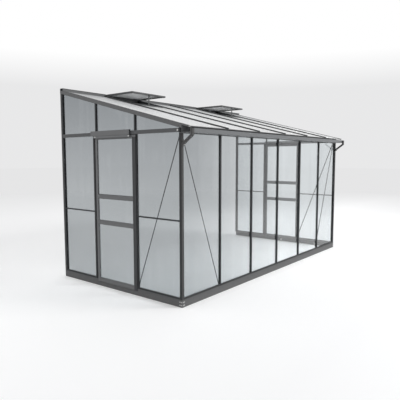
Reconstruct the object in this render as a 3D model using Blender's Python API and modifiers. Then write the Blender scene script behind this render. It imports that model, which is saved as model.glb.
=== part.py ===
"""Lean-to greenhouse with an aluminium frame, glass walls and a sheeted roof.

Blender 4.5 script, in metres, +Z up. X runs along the house wall, the front wall
faces -Y and the open wall side faces +Y. The origin is on the ground, under the
middle of the whole outline. Near is the end at -X and far is the end at +X.
Distances named out are measured outwards from a wall's grid line.
"""
import bpy
import bmesh
import math
from mathutils import Matrix, Vector

# Grid of the frame, and the gap kept between neighbouring pieces
BAY = 0.622
LENGTH_BAYS = 6
DEPTH_BAYS = 3
FIT = 0.0003

# Heights and pitch
BASE_HEIGHT = 0.074
BEAM_BOTTOM = 1.677
BEAM_RISE = 0.0835
ROOF_PITCH = math.radians(14.32)

# Base channel
BASE_WIDTH = 0.055
BASE_WALL = 0.003
BASE_RETURN = 0.025
STEP_HEIGHT = 0.045
STEP_PLATE = 0.003

# Corner posts and wall posts
POST_SIZE = 0.028
POST_FACE = 0.010
POST_WALL = 0.0025
POST_FIN = 0.010
POST_FIN_THICKNESS = 0.003
POST_STEP = 0.001
WALL_POST_DEPTH = 0.034
WALL_REACH = 0.020

# Glazing of the walls
GLASS = 0.003
TRIM_FACE = 0.008
TRIM_DEPTH = 0.0157
TRIM_WIDTH = 0.020
TRIM_BEAD = 0.004
TRIM_HEAD = 0.028
SEAL_HEIGHT = 0.017
JOINT_HEIGHT = 0.842
JOINT_STRIP = 0.014
DOOR_STRIP_FRONT = 0.008
DOOR_STRIP_WALL = 0.022

# Wall bars behind the glass
BAR_FLANGE = 0.0025
BAR_RIB = 0.012
LINTEL_DROP = 0.028
LINTEL_LAP = 0.010
LINTEL_LIP = 0.006

# Door leaves
LEAF_LAP = 0.0105
LEAF_FACE = 0.011
LEAF_THICKNESS = 0.016
LEAF_CLEARANCE = 0.005
HINGE_STILE = 0.030
LOCK_STILE = 0.050
TOP_RAIL = 0.033
MID_RAIL = 0.046
BOTTOM_RAIL = 0.045
LOCK_RAIL_HEIGHT = 1.019
KICK_RAIL_HEIGHT = 0.730
DOOR_REBATE = 0.008
DRIP_HEIGHT = 0.020
DRIP_REACH = 0.029
DRIP_WALL = 0.0025
DOOR_CLEARANCE = 0.0055
HEAD_LAP = 0.006

# Door hinges
HINGE_OFFSET = 0.0125
HINGE_FACE = 0.013
HINGE_RADIUS = 0.007
HINGE_LIFT = 0.006
HINGE_ARM = 0.0045
PIN_RADIUS = 0.003
PIN_PLAY = 0.0003
KNUCKLE = 0.040
KNUCKLE_GAP = 0.0005
KNUCKLE_ARM = 0.009
KNUCKLE_INSET = 0.215
JAMB_BLOCK = 0.014
JAMB_FACE = 0.0005
JAMB_LAP = 0.010
ROUND_STEPS = 16

# Eaves rails and door headers on the end walls
EAVES_RAIL_RISE = 0.045
EAVES_RAIL_HEIGHT = 0.038
EAVES_RAIL_DEPTH = 0.012
HEADER_RISE = 0.013
HEADER_SHIFT = 0.049
HEADER_DEPTH = 0.021
HEADER_WALL = 0.002

# Roof sheets, bars and end bars
SHEET = 0.006
OVERHANG = 0.097
CAP_WIDTH = 0.022
CAP_HEIGHT = 0.014
CAP_CHAMFER = 0.004
CAP_RECESS = 0.0015
CAP_WEB = 0.006
ROOF_SHELF = 0.003
STEM = 0.004
STEM_DEPTH = 0.034
STEM_BEAD_WIDTH = 0.012
STEM_BEAD = 0.004
END_BAR_FACE = 0.0145
END_BAR_DEPTH = 0.035
END_BAR_WALL = 0.003
END_BAR_LEG = 0.030
END_BAR_LEG_FACE = -0.0145

# Ridge profile against the house wall
RIDGE_RISE = 0.0201
RIDGE_DEPTH = 0.053
RIDGE_WALL = 0.003
RIDGE_STUB = 0.031

# Eaves beam with its gutter, and the gutter's end straps
GUTTER_REACH = 0.120
GUTTER_DEPTH = 0.041
GUTTER_WALL = 0.003
GUTTER_HEM = 0.007
BEAM_FACE = 0.0155
BEAM_WALL = 0.003
STRAP_WIDTH = 0.028
STRAP_THICKNESS = 0.022
STRAP_BEND_DROP = 0.022
STRAP_FOOT_DROP = 0.101
STRAP_FOOT = 0.020

# Roof vents, fixed open and level
VENT_BAYS = (2, 5)
VENT_SIDE_GAP = 0.014
VENT_LENGTH = 0.525
VENT_LAP = 0.010
VENT_THICKNESS = 0.018
VENT_RAIL = 0.022
VENT_REBATE = 0.008
VENT_PANE = 0.004
SILL_WIDTH = 0.024
SILL_UPSTAND = 0.014
SILL_HEIGHT = 0.012
STAY_WIDTH = 0.020
STAY_THICKNESS = 0.005
STAY_SETBACK = 0.013

# Corner braces
BRACE_WIDTH = 0.009
BRACE_THICKNESS = 0.003
BRACE_HEAD = 0.045
BRACE_FOOT_LAP = 0.004
BRACE_INSET_END = 0.0195
BRACE_INSET_FRONT = 0.010

# Places that follow from the sizes above
HALF_LENGTH = BAY * LENGTH_BAYS / 2
DEPTH = BAY * DEPTH_BAYS
SLOPE = math.tan(ROOF_PITCH)
FRONT_REACH = GUTTER_REACH + FIT + STRAP_THICKNESS
FRONT_Y = (FRONT_REACH - DEPTH - WALL_REACH) / 2
WALL_Y = FRONT_Y + DEPTH
WALL_FACE_Y = WALL_Y + WALL_REACH
DOOR_Y = (FRONT_Y + WALL_Y) / 2
BASE_TOP = BASE_HEIGHT + FIT
WALL_TOP = BEAM_BOTTOM - FIT
EAVES_SURFACE = BEAM_BOTTOM + BEAM_RISE
EAVES_RAIL_TOP = BEAM_BOTTOM + EAVES_RAIL_RISE
HEADER_TOP = EAVES_RAIL_TOP + HEADER_RISE
GUTTER_LIP = BEAM_BOTTOM + GUTTER_DEPTH
POST_BACK = POST_FACE - POST_SIZE
TRIM_BACK = TRIM_FACE - TRIM_DEPTH
GLASS_FACE = TRIM_BACK - FIT
BAR_FACE = GLASS_FACE - GLASS - FIT
BAR_BACK = POST_BACK
SHEET_SEAT = -SHEET - FIT
ROOF_SEAT = SHEET_SEAT - ROOF_SHELF
GLAZING_TOP = ROOF_SEAT - FIT
END_FRONT = FRONT_Y - POST_BACK + FIT
END_BACK = WALL_FACE_Y - WALL_POST_DEPTH - FIT
LEAF_HALF_WIDTH = BAY / 2 + LEAF_LAP
LEAF_BOTTOM = STEP_HEIGHT + LEAF_CLEARANCE
LEAF_TOP = EAVES_RAIL_TOP - EAVES_RAIL_HEIGHT - LEAF_CLEARANCE
HINGE_BOTTOM = BASE_HEIGHT + HINGE_LIFT
HINGE_T = LEAF_HALF_WIDTH + HINGE_OFFSET
DOOR_EDGE = LEAF_HALF_WIDTH + DOOR_CLEARANCE
JAMB_INNER = HINGE_T - JAMB_BLOCK / 2
JAMB_OUTER = HINGE_T + JAMB_BLOCK / 2
HEAD_LINE = EAVES_RAIL_TOP - EAVES_RAIL_HEIGHT + HEAD_LAP
RIDGE_TOP = EAVES_SURFACE + (WALL_FACE_Y - FRONT_Y) * SLOPE + RIDGE_RISE
RIDGE_FRONT = WALL_FACE_Y - RIDGE_DEPTH
RIDGE_BACK = WALL_FACE_Y - RIDGE_WALL
LIP_BOTTOM = EAVES_SURFACE + (RIDGE_FRONT + RIDGE_WALL - FRONT_Y) * SLOPE + 2 * FIT
END_REACH = END_BAR_FACE - END_BAR_WALL - FIT
VENT_HALF_WIDTH = BAY / 2 - VENT_SIDE_GAP
VENT_REAR = WALL_FACE_Y - RIDGE_STUB + VENT_LAP
VENT_FRONT = VENT_REAR - VENT_LENGTH
VENT_TOP = RIDGE_TOP - RIDGE_WALL - FIT
VENT_BOTTOM = VENT_TOP - VENT_THICKNESS
STAY_Y = VENT_FRONT + STAY_SETBACK
ENDS = (("near", -1), ("far", 1))

COLLECTION = bpy.data.collections.new("greenhouse")
CUTTERS = bpy.data.collections.new("cutters")


def clear_scene():
    for old in list(bpy.data.objects):
        bpy.data.objects.remove(old, do_unlink=True)
    bpy.context.scene.collection.children.link(COLLECTION)
    bpy.context.scene.collection.children.link(CUTTERS)


def finish(name, colour, roughness, metallic, alpha=1.0):
    material = bpy.data.materials.new(name)
    material.use_nodes = True
    shader = material.node_tree.nodes["Principled BSDF"]
    shader.inputs["Base Color"].default_value = (*colour, 1.0)
    shader.inputs["Roughness"].default_value = roughness
    shader.inputs["Metallic"].default_value = metallic
    shader.inputs["Alpha"].default_value = alpha
    return material


ANTHRACITE = finish("anthracite_powder_coat", (0.085, 0.089, 0.092), 0.45, 0.3)
BASE_GREY = finish("base_powder_coat", (0.125, 0.128, 0.132), 0.50, 0.3)
BLACK = finish("black_powder_coat", (0.014, 0.016, 0.018), 0.40, 0.0)
BLACK_TRIM = finish("black_glazing_trim", (0.012, 0.014, 0.016), 0.45, 0.0)
CLEAR_GLASS = finish("clear_glass", (0.80, 0.86, 0.88), 0.03, 0.0, 0.30)
WHITE_SHEET = finish("opal_roof_sheet", (0.86, 0.87, 0.87), 0.30, 0.0, 0.85)


def roof_height(y, offset=0.0):
    """Height at depth y of the plane that lies offset above the roof sheets' top face."""
    return EAVES_SURFACE + (y - FRONT_Y) * SLOPE + offset / math.cos(ROOF_PITCH)


def bar_x(index):
    """X of a roof bar or front bar's centre line, counted from the near end."""
    return -HALF_LENGTH + BAY * index


def end_x(side, out):
    """X of a plane that lies out from an end wall's grid line."""
    return side * (HALF_LENGTH + out)


def front_y(out):
    """Y of a plane that lies out from the front wall's grid line."""
    return FRONT_Y - out


# Frames that put a flat outline and its thickness in place
def upright(z):
    """Outline in plan (X, Y), thickness upwards from z."""
    return Matrix.Translation((0, 0, z))


def lengthwise(x):
    """Outline seen from the end (Y, Z), thickness along +X from x."""
    turn = Matrix(((0, 0, 1, 0), (1, 0, 0, 0), (0, 1, 0, 0), (0, 0, 0, 1)))
    return Matrix.Translation((x, 0, 0)) @ turn


def forwards(y):
    """Outline seen from the front (X, Z), thickness along -Y from y."""
    turn = Matrix(((1, 0, 0, 0), (0, 0, -1, 0), (0, 1, 0, 0), (0, 0, 0, 1)))
    return Matrix.Translation((0, y, 0)) @ turn


def down_slope(y):
    """Outline across the roof (X, offset), thickness down the slope from depth y."""
    c = math.cos(ROOF_PITCH)
    s = math.sin(ROOF_PITCH)
    turn = Matrix(((1, 0, 0, 0), (0, -s, -c, 0), (0, c, -s, 0), (0, 0, 0, 1)))
    return Matrix.Translation((0, y, roof_height(y))) @ turn


def rect(left, right, low, high):
    return [(left, low), (right, low), (right, high), (left, high)]


def strip_outline(path, thickness):
    """Both sides of a bent flat strip that follows a path, mitred at each bend."""
    points = [Vector(point) for point in path]
    legs = [(b - a).normalized() for a, b in zip(points, points[1:])]
    left = []
    right = []
    for index, point in enumerate(points):
        before = legs[max(index - 1, 0)]
        after = legs[min(index, len(legs) - 1)]
        along = (before + after).normalized()
        across = Vector((-along.y, along.x)) * thickness / 2 / along.dot(after)
        left.append(tuple(point + across))
        right.append(tuple(point - across))
    return left + right[::-1]


def outline_mesh(name, loops, thickness):
    """A closed mesh from flat outlines; a loop inside another is a hole."""
    curve = bpy.data.curves.new(name, "CURVE")
    curve.dimensions = "2D"
    curve.fill_mode = "BOTH"
    curve.extrude = thickness / 2
    for loop in loops:
        spline = curve.splines.new("POLY")
        spline.points.add(len(loop) - 1)
        for point, (x, y) in zip(spline.points, loop):
            point.co = (x, y, 0.0, 1.0)
        spline.use_cyclic_u = True
    guide = bpy.data.objects.new(name, curve)
    COLLECTION.objects.link(guide)
    evaluated = guide.evaluated_get(bpy.context.evaluated_depsgraph_get())
    mesh = bpy.data.meshes.new_from_object(evaluated)
    bpy.data.objects.remove(guide, do_unlink=True)
    mesh.name = name
    bm = bmesh.new()
    bm.from_mesh(mesh)
    bmesh.ops.translate(bm, verts=bm.verts, vec=(0, 0, thickness / 2))
    bmesh.ops.remove_doubles(bm, verts=bm.verts, dist=0.00001)
    bmesh.ops.recalc_face_normals(bm, faces=bm.faces)
    bm.to_mesh(mesh)
    bm.free()
    return mesh


def place(name, mesh, material, frame):
    mesh.materials.clear()
    mesh.materials.append(material)
    piece = bpy.data.objects.new(name, mesh)
    piece.matrix_world = frame
    COLLECTION.objects.link(piece)
    return piece


def extruded(name, material, loops, thickness, frame):
    return place(name, outline_mesh(name, loops, thickness), material, frame)


def box(name, material, corner, opposite):
    low = Vector([min(pair) for pair in zip(corner, opposite)])
    high = Vector([max(pair) for pair in zip(corner, opposite)])
    bm = bmesh.new()
    bmesh.ops.create_cube(bm, size=1.0)
    bmesh.ops.scale(bm, vec=high - low, verts=bm.verts)
    mesh = bpy.data.meshes.new(name)
    bm.to_mesh(mesh)
    bm.free()
    return place(name, mesh, material, Matrix.Translation((low + high) / 2))


def turned(name, material, profile, centre):
    """A solid turned about an upright axis from a profile of (radius, height) points."""
    mesh = bpy.data.meshes.new(name)
    points = [(radius, 0.0, height) for radius, height in profile]
    mesh.from_pydata(points, [(i, i + 1) for i in range(len(points) - 1)], [])
    guide = bpy.data.objects.new(name, mesh)
    COLLECTION.objects.link(guide)
    screw = guide.modifiers.new("turn", "SCREW")
    screw.steps = ROUND_STEPS
    screw.render_steps = ROUND_STEPS
    screw.use_merge_vertices = True
    screw.merge_threshold = 0.00005
    evaluated = guide.evaluated_get(bpy.context.evaluated_depsgraph_get())
    solid = bpy.data.meshes.new_from_object(evaluated)
    bpy.data.objects.remove(guide, do_unlink=True)
    bm = bmesh.new()
    bm.from_mesh(solid)
    bmesh.ops.remove_doubles(bm, verts=bm.verts, dist=0.00001)
    bmesh.ops.recalc_face_normals(bm, faces=bm.faces)
    bm.to_mesh(solid)
    bm.free()
    return place(name, solid, material, Matrix.Translation((*centre, 0.0)))


def combine(piece, other, operation):
    """Join a helper solid to a piece or cut it away, and put the helper out of sight."""
    COLLECTION.objects.unlink(other)
    CUTTERS.objects.link(other)
    other.hide_render = True
    other.display_type = "WIRE"
    step = piece.modifiers.new(other.name, "BOOLEAN")
    step.operation = operation
    step.solver = "EXACT"
    step.object = other


def join(piece, other):
    combine(piece, other, "UNION")


def cut(piece, other):
    combine(piece, other, "DIFFERENCE")


def saw(piece, point, normal):
    """Take off what lies beyond a plane and close the sawn face."""
    back = piece.matrix_world.inverted()
    bm = bmesh.new()
    bm.from_mesh(piece.data)
    bmesh.ops.bisect_plane(
        bm,
        geom=list(bm.verts) + list(bm.edges) + list(bm.faces),
        dist=0.000001,
        plane_co=back @ Vector(point),
        plane_no=back.to_3x3() @ Vector(normal),
        clear_outer=True,
    )
    bmesh.ops.holes_fill(bm, edges=[edge for edge in bm.edges if edge.is_boundary], sides=0)
    bmesh.ops.recalc_face_normals(bm, faces=bm.faces)
    bm.to_mesh(piece.data)
    bm.free()


def saw_to_roof(piece, offset):
    """Take off what lies above the plane parallel to the roof at an offset from it."""
    normal = (0, -math.sin(ROOF_PITCH), math.cos(ROOF_PITCH))
    saw(piece, (0, FRONT_Y, roof_height(FRONT_Y, offset)), normal)


def move_origin(piece, point):
    """Put a piece's origin on a point and leave its shape where it is."""
    shift = piece.matrix_world.inverted() @ Vector(point)
    piece.data.transform(Matrix.Translation(-shift))
    piece.matrix_world = piece.matrix_world @ Matrix.Translation(shift)


def end_plate(name, material, loops, face, thickness, side):
    """A flat piece in an end wall, from its outer face inwards."""
    planes = (end_x(side, face), end_x(side, face - thickness))
    return extruded(name, material, loops, thickness, lengthwise(min(planes)))


# Base channel, mitred at the front corners, with a rebated step in each doorway
def base_section(face, inward):
    back = face + inward * BASE_WIDTH
    skin = face + inward * BASE_WALL
    lip = face + inward * BASE_RETURN
    return [
        (face, 0.0),
        (face, BASE_HEIGHT),
        (back, BASE_HEIGHT),
        (back, BASE_HEIGHT - BASE_WALL),
        (skin, BASE_HEIGHT - BASE_WALL),
        (skin, BASE_WALL),
        (lip, BASE_WALL),
        (lip, 0.0),
    ]


def mitre(piece, side, along_front):
    """Saw a base rail at 45 degrees through the outside of a front corner."""
    normal = Vector((side, 1, 0)).normalized()
    if not along_front:
        normal = -normal
    corner = Vector((end_x(side, POST_FACE), front_y(POST_FACE), 0))
    saw(piece, corner - normal * FIT / 2, normal)


def doorway_step(piece, end, side):
    """Lower the outside of the base in the doorway, so that the leaf hangs in front of a step."""
    face = end_x(side, POST_FACE)
    riser = end_x(side, BAR_FACE)
    half = DOOR_EDGE
    tray_low = (face - side * BASE_WALL / 2, DOOR_Y - half - STEP_PLATE, STEP_HEIGHT - STEP_PLATE)
    tray_high = (riser - side * STEP_PLATE, DOOR_Y + half + STEP_PLATE, BASE_HEIGHT - BASE_WALL / 2)
    join(piece, box("step_tray_" + end, BASE_GREY, tray_low, tray_high))
    notch_low = (face + side * BASE_WALL, DOOR_Y - half, STEP_HEIGHT)
    notch_high = (riser, DOOR_Y + half, BASE_HEIGHT + BASE_WALL)
    cut(piece, box("step_notch_" + end, BASE_GREY, notch_low, notch_high))


def build_base():
    reach = HALF_LENGTH + POST_FACE
    section = base_section(front_y(POST_FACE), 1)
    front = extruded("base_rail_front", BASE_GREY, [section], 2 * reach, lengthwise(-reach))
    for end, side in ENDS:
        mitre(front, side, True)
        section = base_section(end_x(side, POST_FACE), -side)
        length = WALL_FACE_Y - front_y(POST_FACE)
        rail = extruded("base_rail_" + end, BASE_GREY, [section], length, forwards(WALL_FACE_Y))
        mitre(rail, side, False)
        doorway_step(rail, end, side)


# Corner posts and wall posts: hollow squares with fins that back the glass
def build_posts():
    out = POST_FACE
    back = POST_BACK
    fin_face = BAR_FACE
    fin_back = BAR_FACE - POST_FIN_THICKNESS
    fin_end = POST_BACK - POST_FIN
    plan = [
        (out, out),
        (out, back),
        (fin_face, back),
        (fin_face, fin_end),
        (fin_back, fin_end),
        (fin_back, back),
        (back, back),
        (back, fin_back),
        (fin_end, fin_back),
        (fin_end, fin_face),
        (back, fin_face),
        (back, out),
    ]
    bore = rect(back + POST_WALL, out - POST_WALL, back + POST_WALL, out - POST_WALL)
    for end, side in ENDS:
        loops = [[(end_x(side, a), front_y(b)) for a, b in loop] for loop in (plan, bore)]
        extruded("corner_post_" + end, ANTHRACITE, loops, WALL_TOP - BASE_TOP, upright(BASE_TOP))

    front = WALL_FACE_Y - WALL_POST_DEPTH
    plan = [
        (out, WALL_FACE_Y),
        (out, front),
        (fin_face, front),
        (fin_face, front - POST_FIN),
        (fin_back, front - POST_FIN),
        (fin_back, front + POST_STEP),
        (back, front + POST_STEP),
        (back, WALL_FACE_Y),
    ]
    bore = rect(back + POST_WALL, out - POST_WALL, front + POST_WALL, WALL_FACE_Y - POST_WALL)
    for end, side in ENDS:
        loops = [[(end_x(side, a), b) for a, b in loop] for loop in (plan, bore)]
        post = extruded("wall_post_" + end, BLACK, loops, RIDGE_TOP - BASE_TOP, upright(BASE_TOP))
        left, right = sorted((end_x(side, out + POST_WALL), end_x(side, back - POST_WALL)))
        loop = rect(left, right, -STEM_DEPTH - FIT - RIDGE_WALL - FIT, 2 * POST_SIZE)
        cut(post, laid_on_roof("post_head_" + end, BLACK, [loop], WALL_FACE_Y + POST_SIZE, front - POST_SIZE))


# Bars behind the glass: a glazing flange with a rib down its back
def bar_plan(left, right):
    rib = BAR_RIB / 2
    flange_back = BAR_FACE - BAR_FLANGE
    return [
        (-left, BAR_FACE),
        (-left, flange_back),
        (-rib, flange_back),
        (-rib, BAR_BACK),
        (rib, BAR_BACK),
        (rib, flange_back),
        (right, flange_back),
        (right, BAR_FACE),
    ]


def build_front_bars():
    for index in range(1, LENGTH_BAYS):
        plan = [(bar_x(index) + a, front_y(out)) for a, out in bar_plan(TRIM_WIDTH / 2, TRIM_WIDTH / 2)]
        name = "front_bar_%d" % index
        extruded(name, ANTHRACITE, [plan], WALL_TOP - BASE_TOP, upright(BASE_TOP))


def knuckle_heights():
    """Middle heights of the fixed hinge knuckles."""
    return [HINGE_BOTTOM + KNUCKLE_INSET, (HINGE_BOTTOM + LEAF_TOP) / 2, LEAF_TOP - KNUCKLE_INSET]


def arc(centre, radius, start, stop, steps):
    angles = [start + (stop - start) * i / steps for i in range(steps + 1)]
    return [(centre[0] + radius * math.cos(a), centre[1] + radius * math.sin(a)) for a in angles]


def knuckle_plan():
    """A round eye on an arm that reaches down to the jamb, with its pin bore."""
    centre = (HINGE_T, HINGE_FACE)
    open_angle = math.asin(KNUCKLE_ARM / 2 / HINGE_RADIUS)
    eye = arc(centre, HINGE_RADIUS, -math.pi / 2 + open_angle, 1.5 * math.pi - open_angle, ROUND_STEPS)
    foot = JAMB_FACE - KNUCKLE_ARM / 2
    eye.append((HINGE_T - KNUCKLE_ARM / 2, foot))
    eye.append((HINGE_T + KNUCKLE_ARM / 2, foot))
    bore = arc(centre, PIN_RADIUS + PIN_PLAY, 0, 2 * math.pi, ROUND_STEPS)[:-1]
    return eye, bore


def build_door_posts():
    half = BAY / 2
    trim = TRIM_WIDTH / 2
    for end, side in ENDS:
        for place_name, way in (("front", -1), ("wall", 1)):
            name = "door_post_%s_%s" % (end, place_name)
            lap = DOOR_EDGE + DOOR_STRIP_FRONT - half
            plan = bar_plan(trim, lap)
            if way > 0:
                plan = bar_plan(trim, JAMB_OUTER + JAMB_LAP - half)
                plan.append((JAMB_OUTER - half, BAR_FACE))
                plan.append((JAMB_OUTER - half, JAMB_FACE))
                plan.append((JAMB_INNER - half, JAMB_FACE))
                plan.append((JAMB_INNER - half, BAR_FACE))
            loop = [(end_x(side, out), DOOR_Y + way * (half + a)) for a, out in plan]
            post = extruded(name, ANTHRACITE, [loop], RIDGE_TOP - BASE_TOP, upright(BASE_TOP))
            saw_to_roof(post, -END_BAR_LEG - FIT)
            cut_low = (end_x(side, BAR_FACE + POST_SIZE), DOOR_Y + way * (half + trim), HEAD_LINE - FIT)
            cut_high = (end_x(side, BAR_BACK - POST_SIZE), DOOR_Y + way * (half + BAY / 4), RIDGE_TOP)
            cut(post, box("jamb_head_%s_%s" % (end, place_name), ANTHRACITE, cut_low, cut_high))
            if way > 0:
                add_knuckles(post, end, side)
                add_lintel(post, end, side)


def add_knuckles(post, end, side):
    for number, middle in enumerate(knuckle_heights(), 1):
        loops = [[(end_x(side, out), DOOR_Y + t) for t, out in loop] for loop in knuckle_plan()]
        height = KNUCKLE - 2 * KNUCKLE_GAP
        name = "knuckle_%s_%d" % (end, number)
        join(post, extruded(name, ANTHRACITE, loops, height, upright(middle - height / 2)))


def add_lintel(post, end, side):
    """The head of the doorway: it backs the leaf's top edge and carries the glass above."""
    low = HEAD_LINE - LINTEL_DROP
    high = HEAD_LINE + LINTEL_LAP
    face = BAR_FACE - FIT
    plate = BAR_FACE - BAR_FLANGE + FIT
    section = [
        (face, low),
        (face, high),
        (plate, high),
        (plate, low + LINTEL_LIP),
        (BAR_BACK, low + LINTEL_LIP),
        (BAR_BACK, low),
    ]
    loop = [(end_x(side, out), z) for out, z in section]
    reach = BAY / 2 - TRIM_WIDTH / 2
    wall_end = DOOR_Y + reach + BAR_FLANGE
    length = wall_end - (DOOR_Y - reach + FIT)
    join(post, extruded("door_lintel_" + end, ANTHRACITE, [loop], length, forwards(wall_end)))


# Doors: a leaf with a turned hinge barrel along its wall-side edge
def leaf_sections():
    """Heights between which the leaf's hinge barrel is solid, from the bottom up."""
    edges = [HINGE_BOTTOM]
    for middle in knuckle_heights():
        edges.append(middle - KNUCKLE / 2)
        edges.append(middle + KNUCKLE / 2)
    edges.append(LEAF_TOP)
    return list(zip(edges[::2], edges[1::2]))


def barrel_profile():
    """The barrel from its top down, necked to the pin where a knuckle sits."""
    profile = [(0.0, LEAF_TOP)]
    for low, high in reversed(leaf_sections()):
        if high < LEAF_TOP:
            profile.append((PIN_RADIUS, high))
        profile.append((HINGE_RADIUS, high))
        profile.append((HINGE_RADIUS, low))
        if low > HINGE_BOTTOM:
            profile.append((PIN_RADIUS, low))
    profile.append((0.0, HINGE_BOTTOM))
    return profile


def sight_openings():
    """The leaf's three glazed openings, from the bottom up."""
    rails = [
        (LEAF_BOTTOM, LEAF_BOTTOM + BOTTOM_RAIL),
        (KICK_RAIL_HEIGHT - MID_RAIL / 2, KICK_RAIL_HEIGHT + MID_RAIL / 2),
        (LOCK_RAIL_HEIGHT - MID_RAIL / 2, LOCK_RAIL_HEIGHT + MID_RAIL / 2),
        (LEAF_TOP - TOP_RAIL, LEAF_TOP),
    ]
    left = DOOR_Y - LEAF_HALF_WIDTH + LOCK_STILE
    right = DOOR_Y + LEAF_HALF_WIDTH - HINGE_STILE
    return [rect(left, right, low[1], high[0]) for low, high in zip(rails, rails[1:])]


def build_doors():
    outline = rect(DOOR_Y - LEAF_HALF_WIDTH, DOOR_Y + LEAF_HALF_WIDTH, LEAF_BOTTOM, LEAF_TOP)
    left = DOOR_Y - LEAF_HALF_WIDTH + LOCK_STILE
    right = DOOR_Y + LEAF_HALF_WIDTH - HINGE_STILE
    back = LEAF_FACE - LEAF_THICKNESS
    low = LEAF_BOTTOM + BOTTOM_RAIL
    high = LEAF_TOP - TOP_RAIL
    for end, side in ENDS:
        axis = (end_x(side, HINGE_FACE), DOOR_Y + HINGE_T)
        loops = [outline] + sight_openings()
        frame = end_plate("door_frame_" + end, ANTHRACITE, loops, LEAF_FACE, LEAF_THICKNESS, side)
        move_origin(frame, (*axis, 0.0))

        lap = DOOR_REBATE + FIT
        pocket_low = (end_x(side, back - BASE_WALL), left - lap, low - lap)
        pocket_high = (end_x(side, back + GLASS + FIT), right + lap, high + lap)
        cut(frame, box("pane_rebate_" + end, ANTHRACITE, pocket_low, pocket_high))

        inner = DOOR_Y + LEAF_HALF_WIDTH - HINGE_OFFSET / 2
        outer = DOOR_Y + HINGE_T - PIN_RADIUS
        arms = [rect(inner, outer, bottom + FIT, top - FIT) for bottom, top in leaf_sections()]
        join(frame, end_plate("hinge_arms_" + end, ANTHRACITE, arms, LEAF_FACE - FIT, HINGE_ARM, side))
        join(frame, turned("hinge_barrel_" + end, ANTHRACITE, barrel_profile(), axis))

        add_drip_hood(frame, end, side)

        pane = rect(left - DOOR_REBATE, right + DOOR_REBATE, low - DOOR_REBATE, high + DOOR_REBATE)
        glass = end_plate("door_glass_" + end, CLEAR_GLASS, [pane], back + GLASS, GLASS, side)
        move_origin(glass, (*axis, 0.0))


def add_drip_hood(frame, end, side):
    """An angle along the leaf's top rail, which sheds rain in front of the leaf."""
    root = LEAF_FACE - DRIP_WALL
    nose = LEAF_FACE + DRIP_REACH
    top = LEAF_TOP - FIT
    section = [
        (root, top),
        (nose, top),
        (nose, top - DRIP_HEIGHT),
        (nose - DRIP_WALL, top - DRIP_HEIGHT),
        (nose - DRIP_WALL, top - DRIP_WALL),
        (root, top - DRIP_WALL),
    ]
    loop = [(end_x(side, out), z) for out, z in section]
    wall_end = DOOR_Y + LEAF_HALF_WIDTH - FIT
    length = wall_end - (DOOR_Y + HEADER_SHIFT - BAY / 2)
    join(frame, extruded("drip_hood_" + end, ANTHRACITE, [loop], length, forwards(wall_end)))


# Glass and black trims of the walls
def gable_loop(front_edge, wall_edge):
    """An end wall's outline up to the roof, open at the doorway."""
    return [
        (END_FRONT, BASE_TOP),
        (DOOR_Y - front_edge, BASE_TOP),
        (DOOR_Y - front_edge, HEAD_LINE),
        (DOOR_Y + wall_edge, HEAD_LINE),
        (DOOR_Y + wall_edge, BASE_TOP),
        (END_BACK, BASE_TOP),
        (END_BACK, roof_height(END_BACK, GLAZING_TOP)),
        (END_FRONT, roof_height(END_FRONT, GLAZING_TOP)),
    ]


def outer_bay_holes(post_edge, door_strip, outer_edge):
    """Sight holes of an outer bay, below and above its joint strip."""
    low = BASE_TOP + SEAL_HEIGHT
    joint_low = JOINT_HEIGHT - JOINT_STRIP / 2
    joint_high = JOINT_HEIGHT + JOINT_STRIP / 2
    jog = HEAD_LINE + TRIM_BEAD * 2
    head = GLAZING_TOP - TRIM_HEAD
    lower = rect(outer_edge, door_strip, low, joint_low)
    upper = [
        (outer_edge, joint_high),
        (door_strip, joint_high),
        (door_strip, jog),
        (post_edge, jog),
        (post_edge, roof_height(post_edge, head)),
        (outer_edge, roof_height(outer_edge, head)),
    ]
    return [lower, upper]


def gable_hole():
    low = HEAD_LINE + TRIM_BEAD * 2
    head = GLAZING_TOP - TRIM_HEAD
    left = DOOR_Y - BAY / 2 + TRIM_WIDTH / 2
    right = DOOR_Y + BAY / 2 - TRIM_WIDTH / 2
    return [(left, low), (right, low), (right, roof_height(right, head)), (left, roof_height(left, head))]


def build_end_glazing():
    reveal = JAMB_OUTER + FIT
    post_edge = BAY / 2 + TRIM_WIDTH / 2
    for end, side in ENDS:
        glass_loop = gable_loop(DOOR_EDGE + FIT, reveal)
        end_plate("end_glass_" + end, CLEAR_GLASS, [glass_loop], GLASS_FACE, GLASS, side)
        loops = [gable_loop(DOOR_EDGE, reveal), gable_hole()]
        front_strip = DOOR_Y - DOOR_EDGE - DOOR_STRIP_FRONT
        wall_strip = DOOR_Y + reveal + DOOR_STRIP_WALL
        loops += outer_bay_holes(DOOR_Y - post_edge, front_strip, END_FRONT + TRIM_BEAD)
        loops += outer_bay_holes(DOOR_Y + post_edge, wall_strip, END_BACK - TRIM_BEAD)
        end_plate("end_trim_" + end, BLACK_TRIM, loops, TRIM_FACE, TRIM_DEPTH, side)


def build_front_glazing():
    half = HALF_LENGTH + POST_BACK - FIT
    outline = rect(-half, half, BASE_TOP, WALL_TOP)
    extruded("front_glass", CLEAR_GLASS, [outline], GLASS, forwards(front_y(GLASS_FACE - GLASS)))
    loops = [outline]
    for index in range(LENGTH_BAYS):
        left = max(bar_x(index) + TRIM_WIDTH / 2, -half + TRIM_BEAD)
        right = min(bar_x(index + 1) - TRIM_WIDTH / 2, half - TRIM_BEAD)
        loops.append(rect(left, right, BASE_TOP + SEAL_HEIGHT, WALL_TOP - TRIM_BEAD))
    extruded("front_trim", BLACK_TRIM, loops, TRIM_DEPTH, forwards(front_y(TRIM_BACK)))


# Eaves rails and door headers, hollow and open at their ends
def tube(left, right, low, high, wall):
    return [rect(left, right, low, high), rect(left + wall, right - wall, low + wall, high - wall)]


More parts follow.
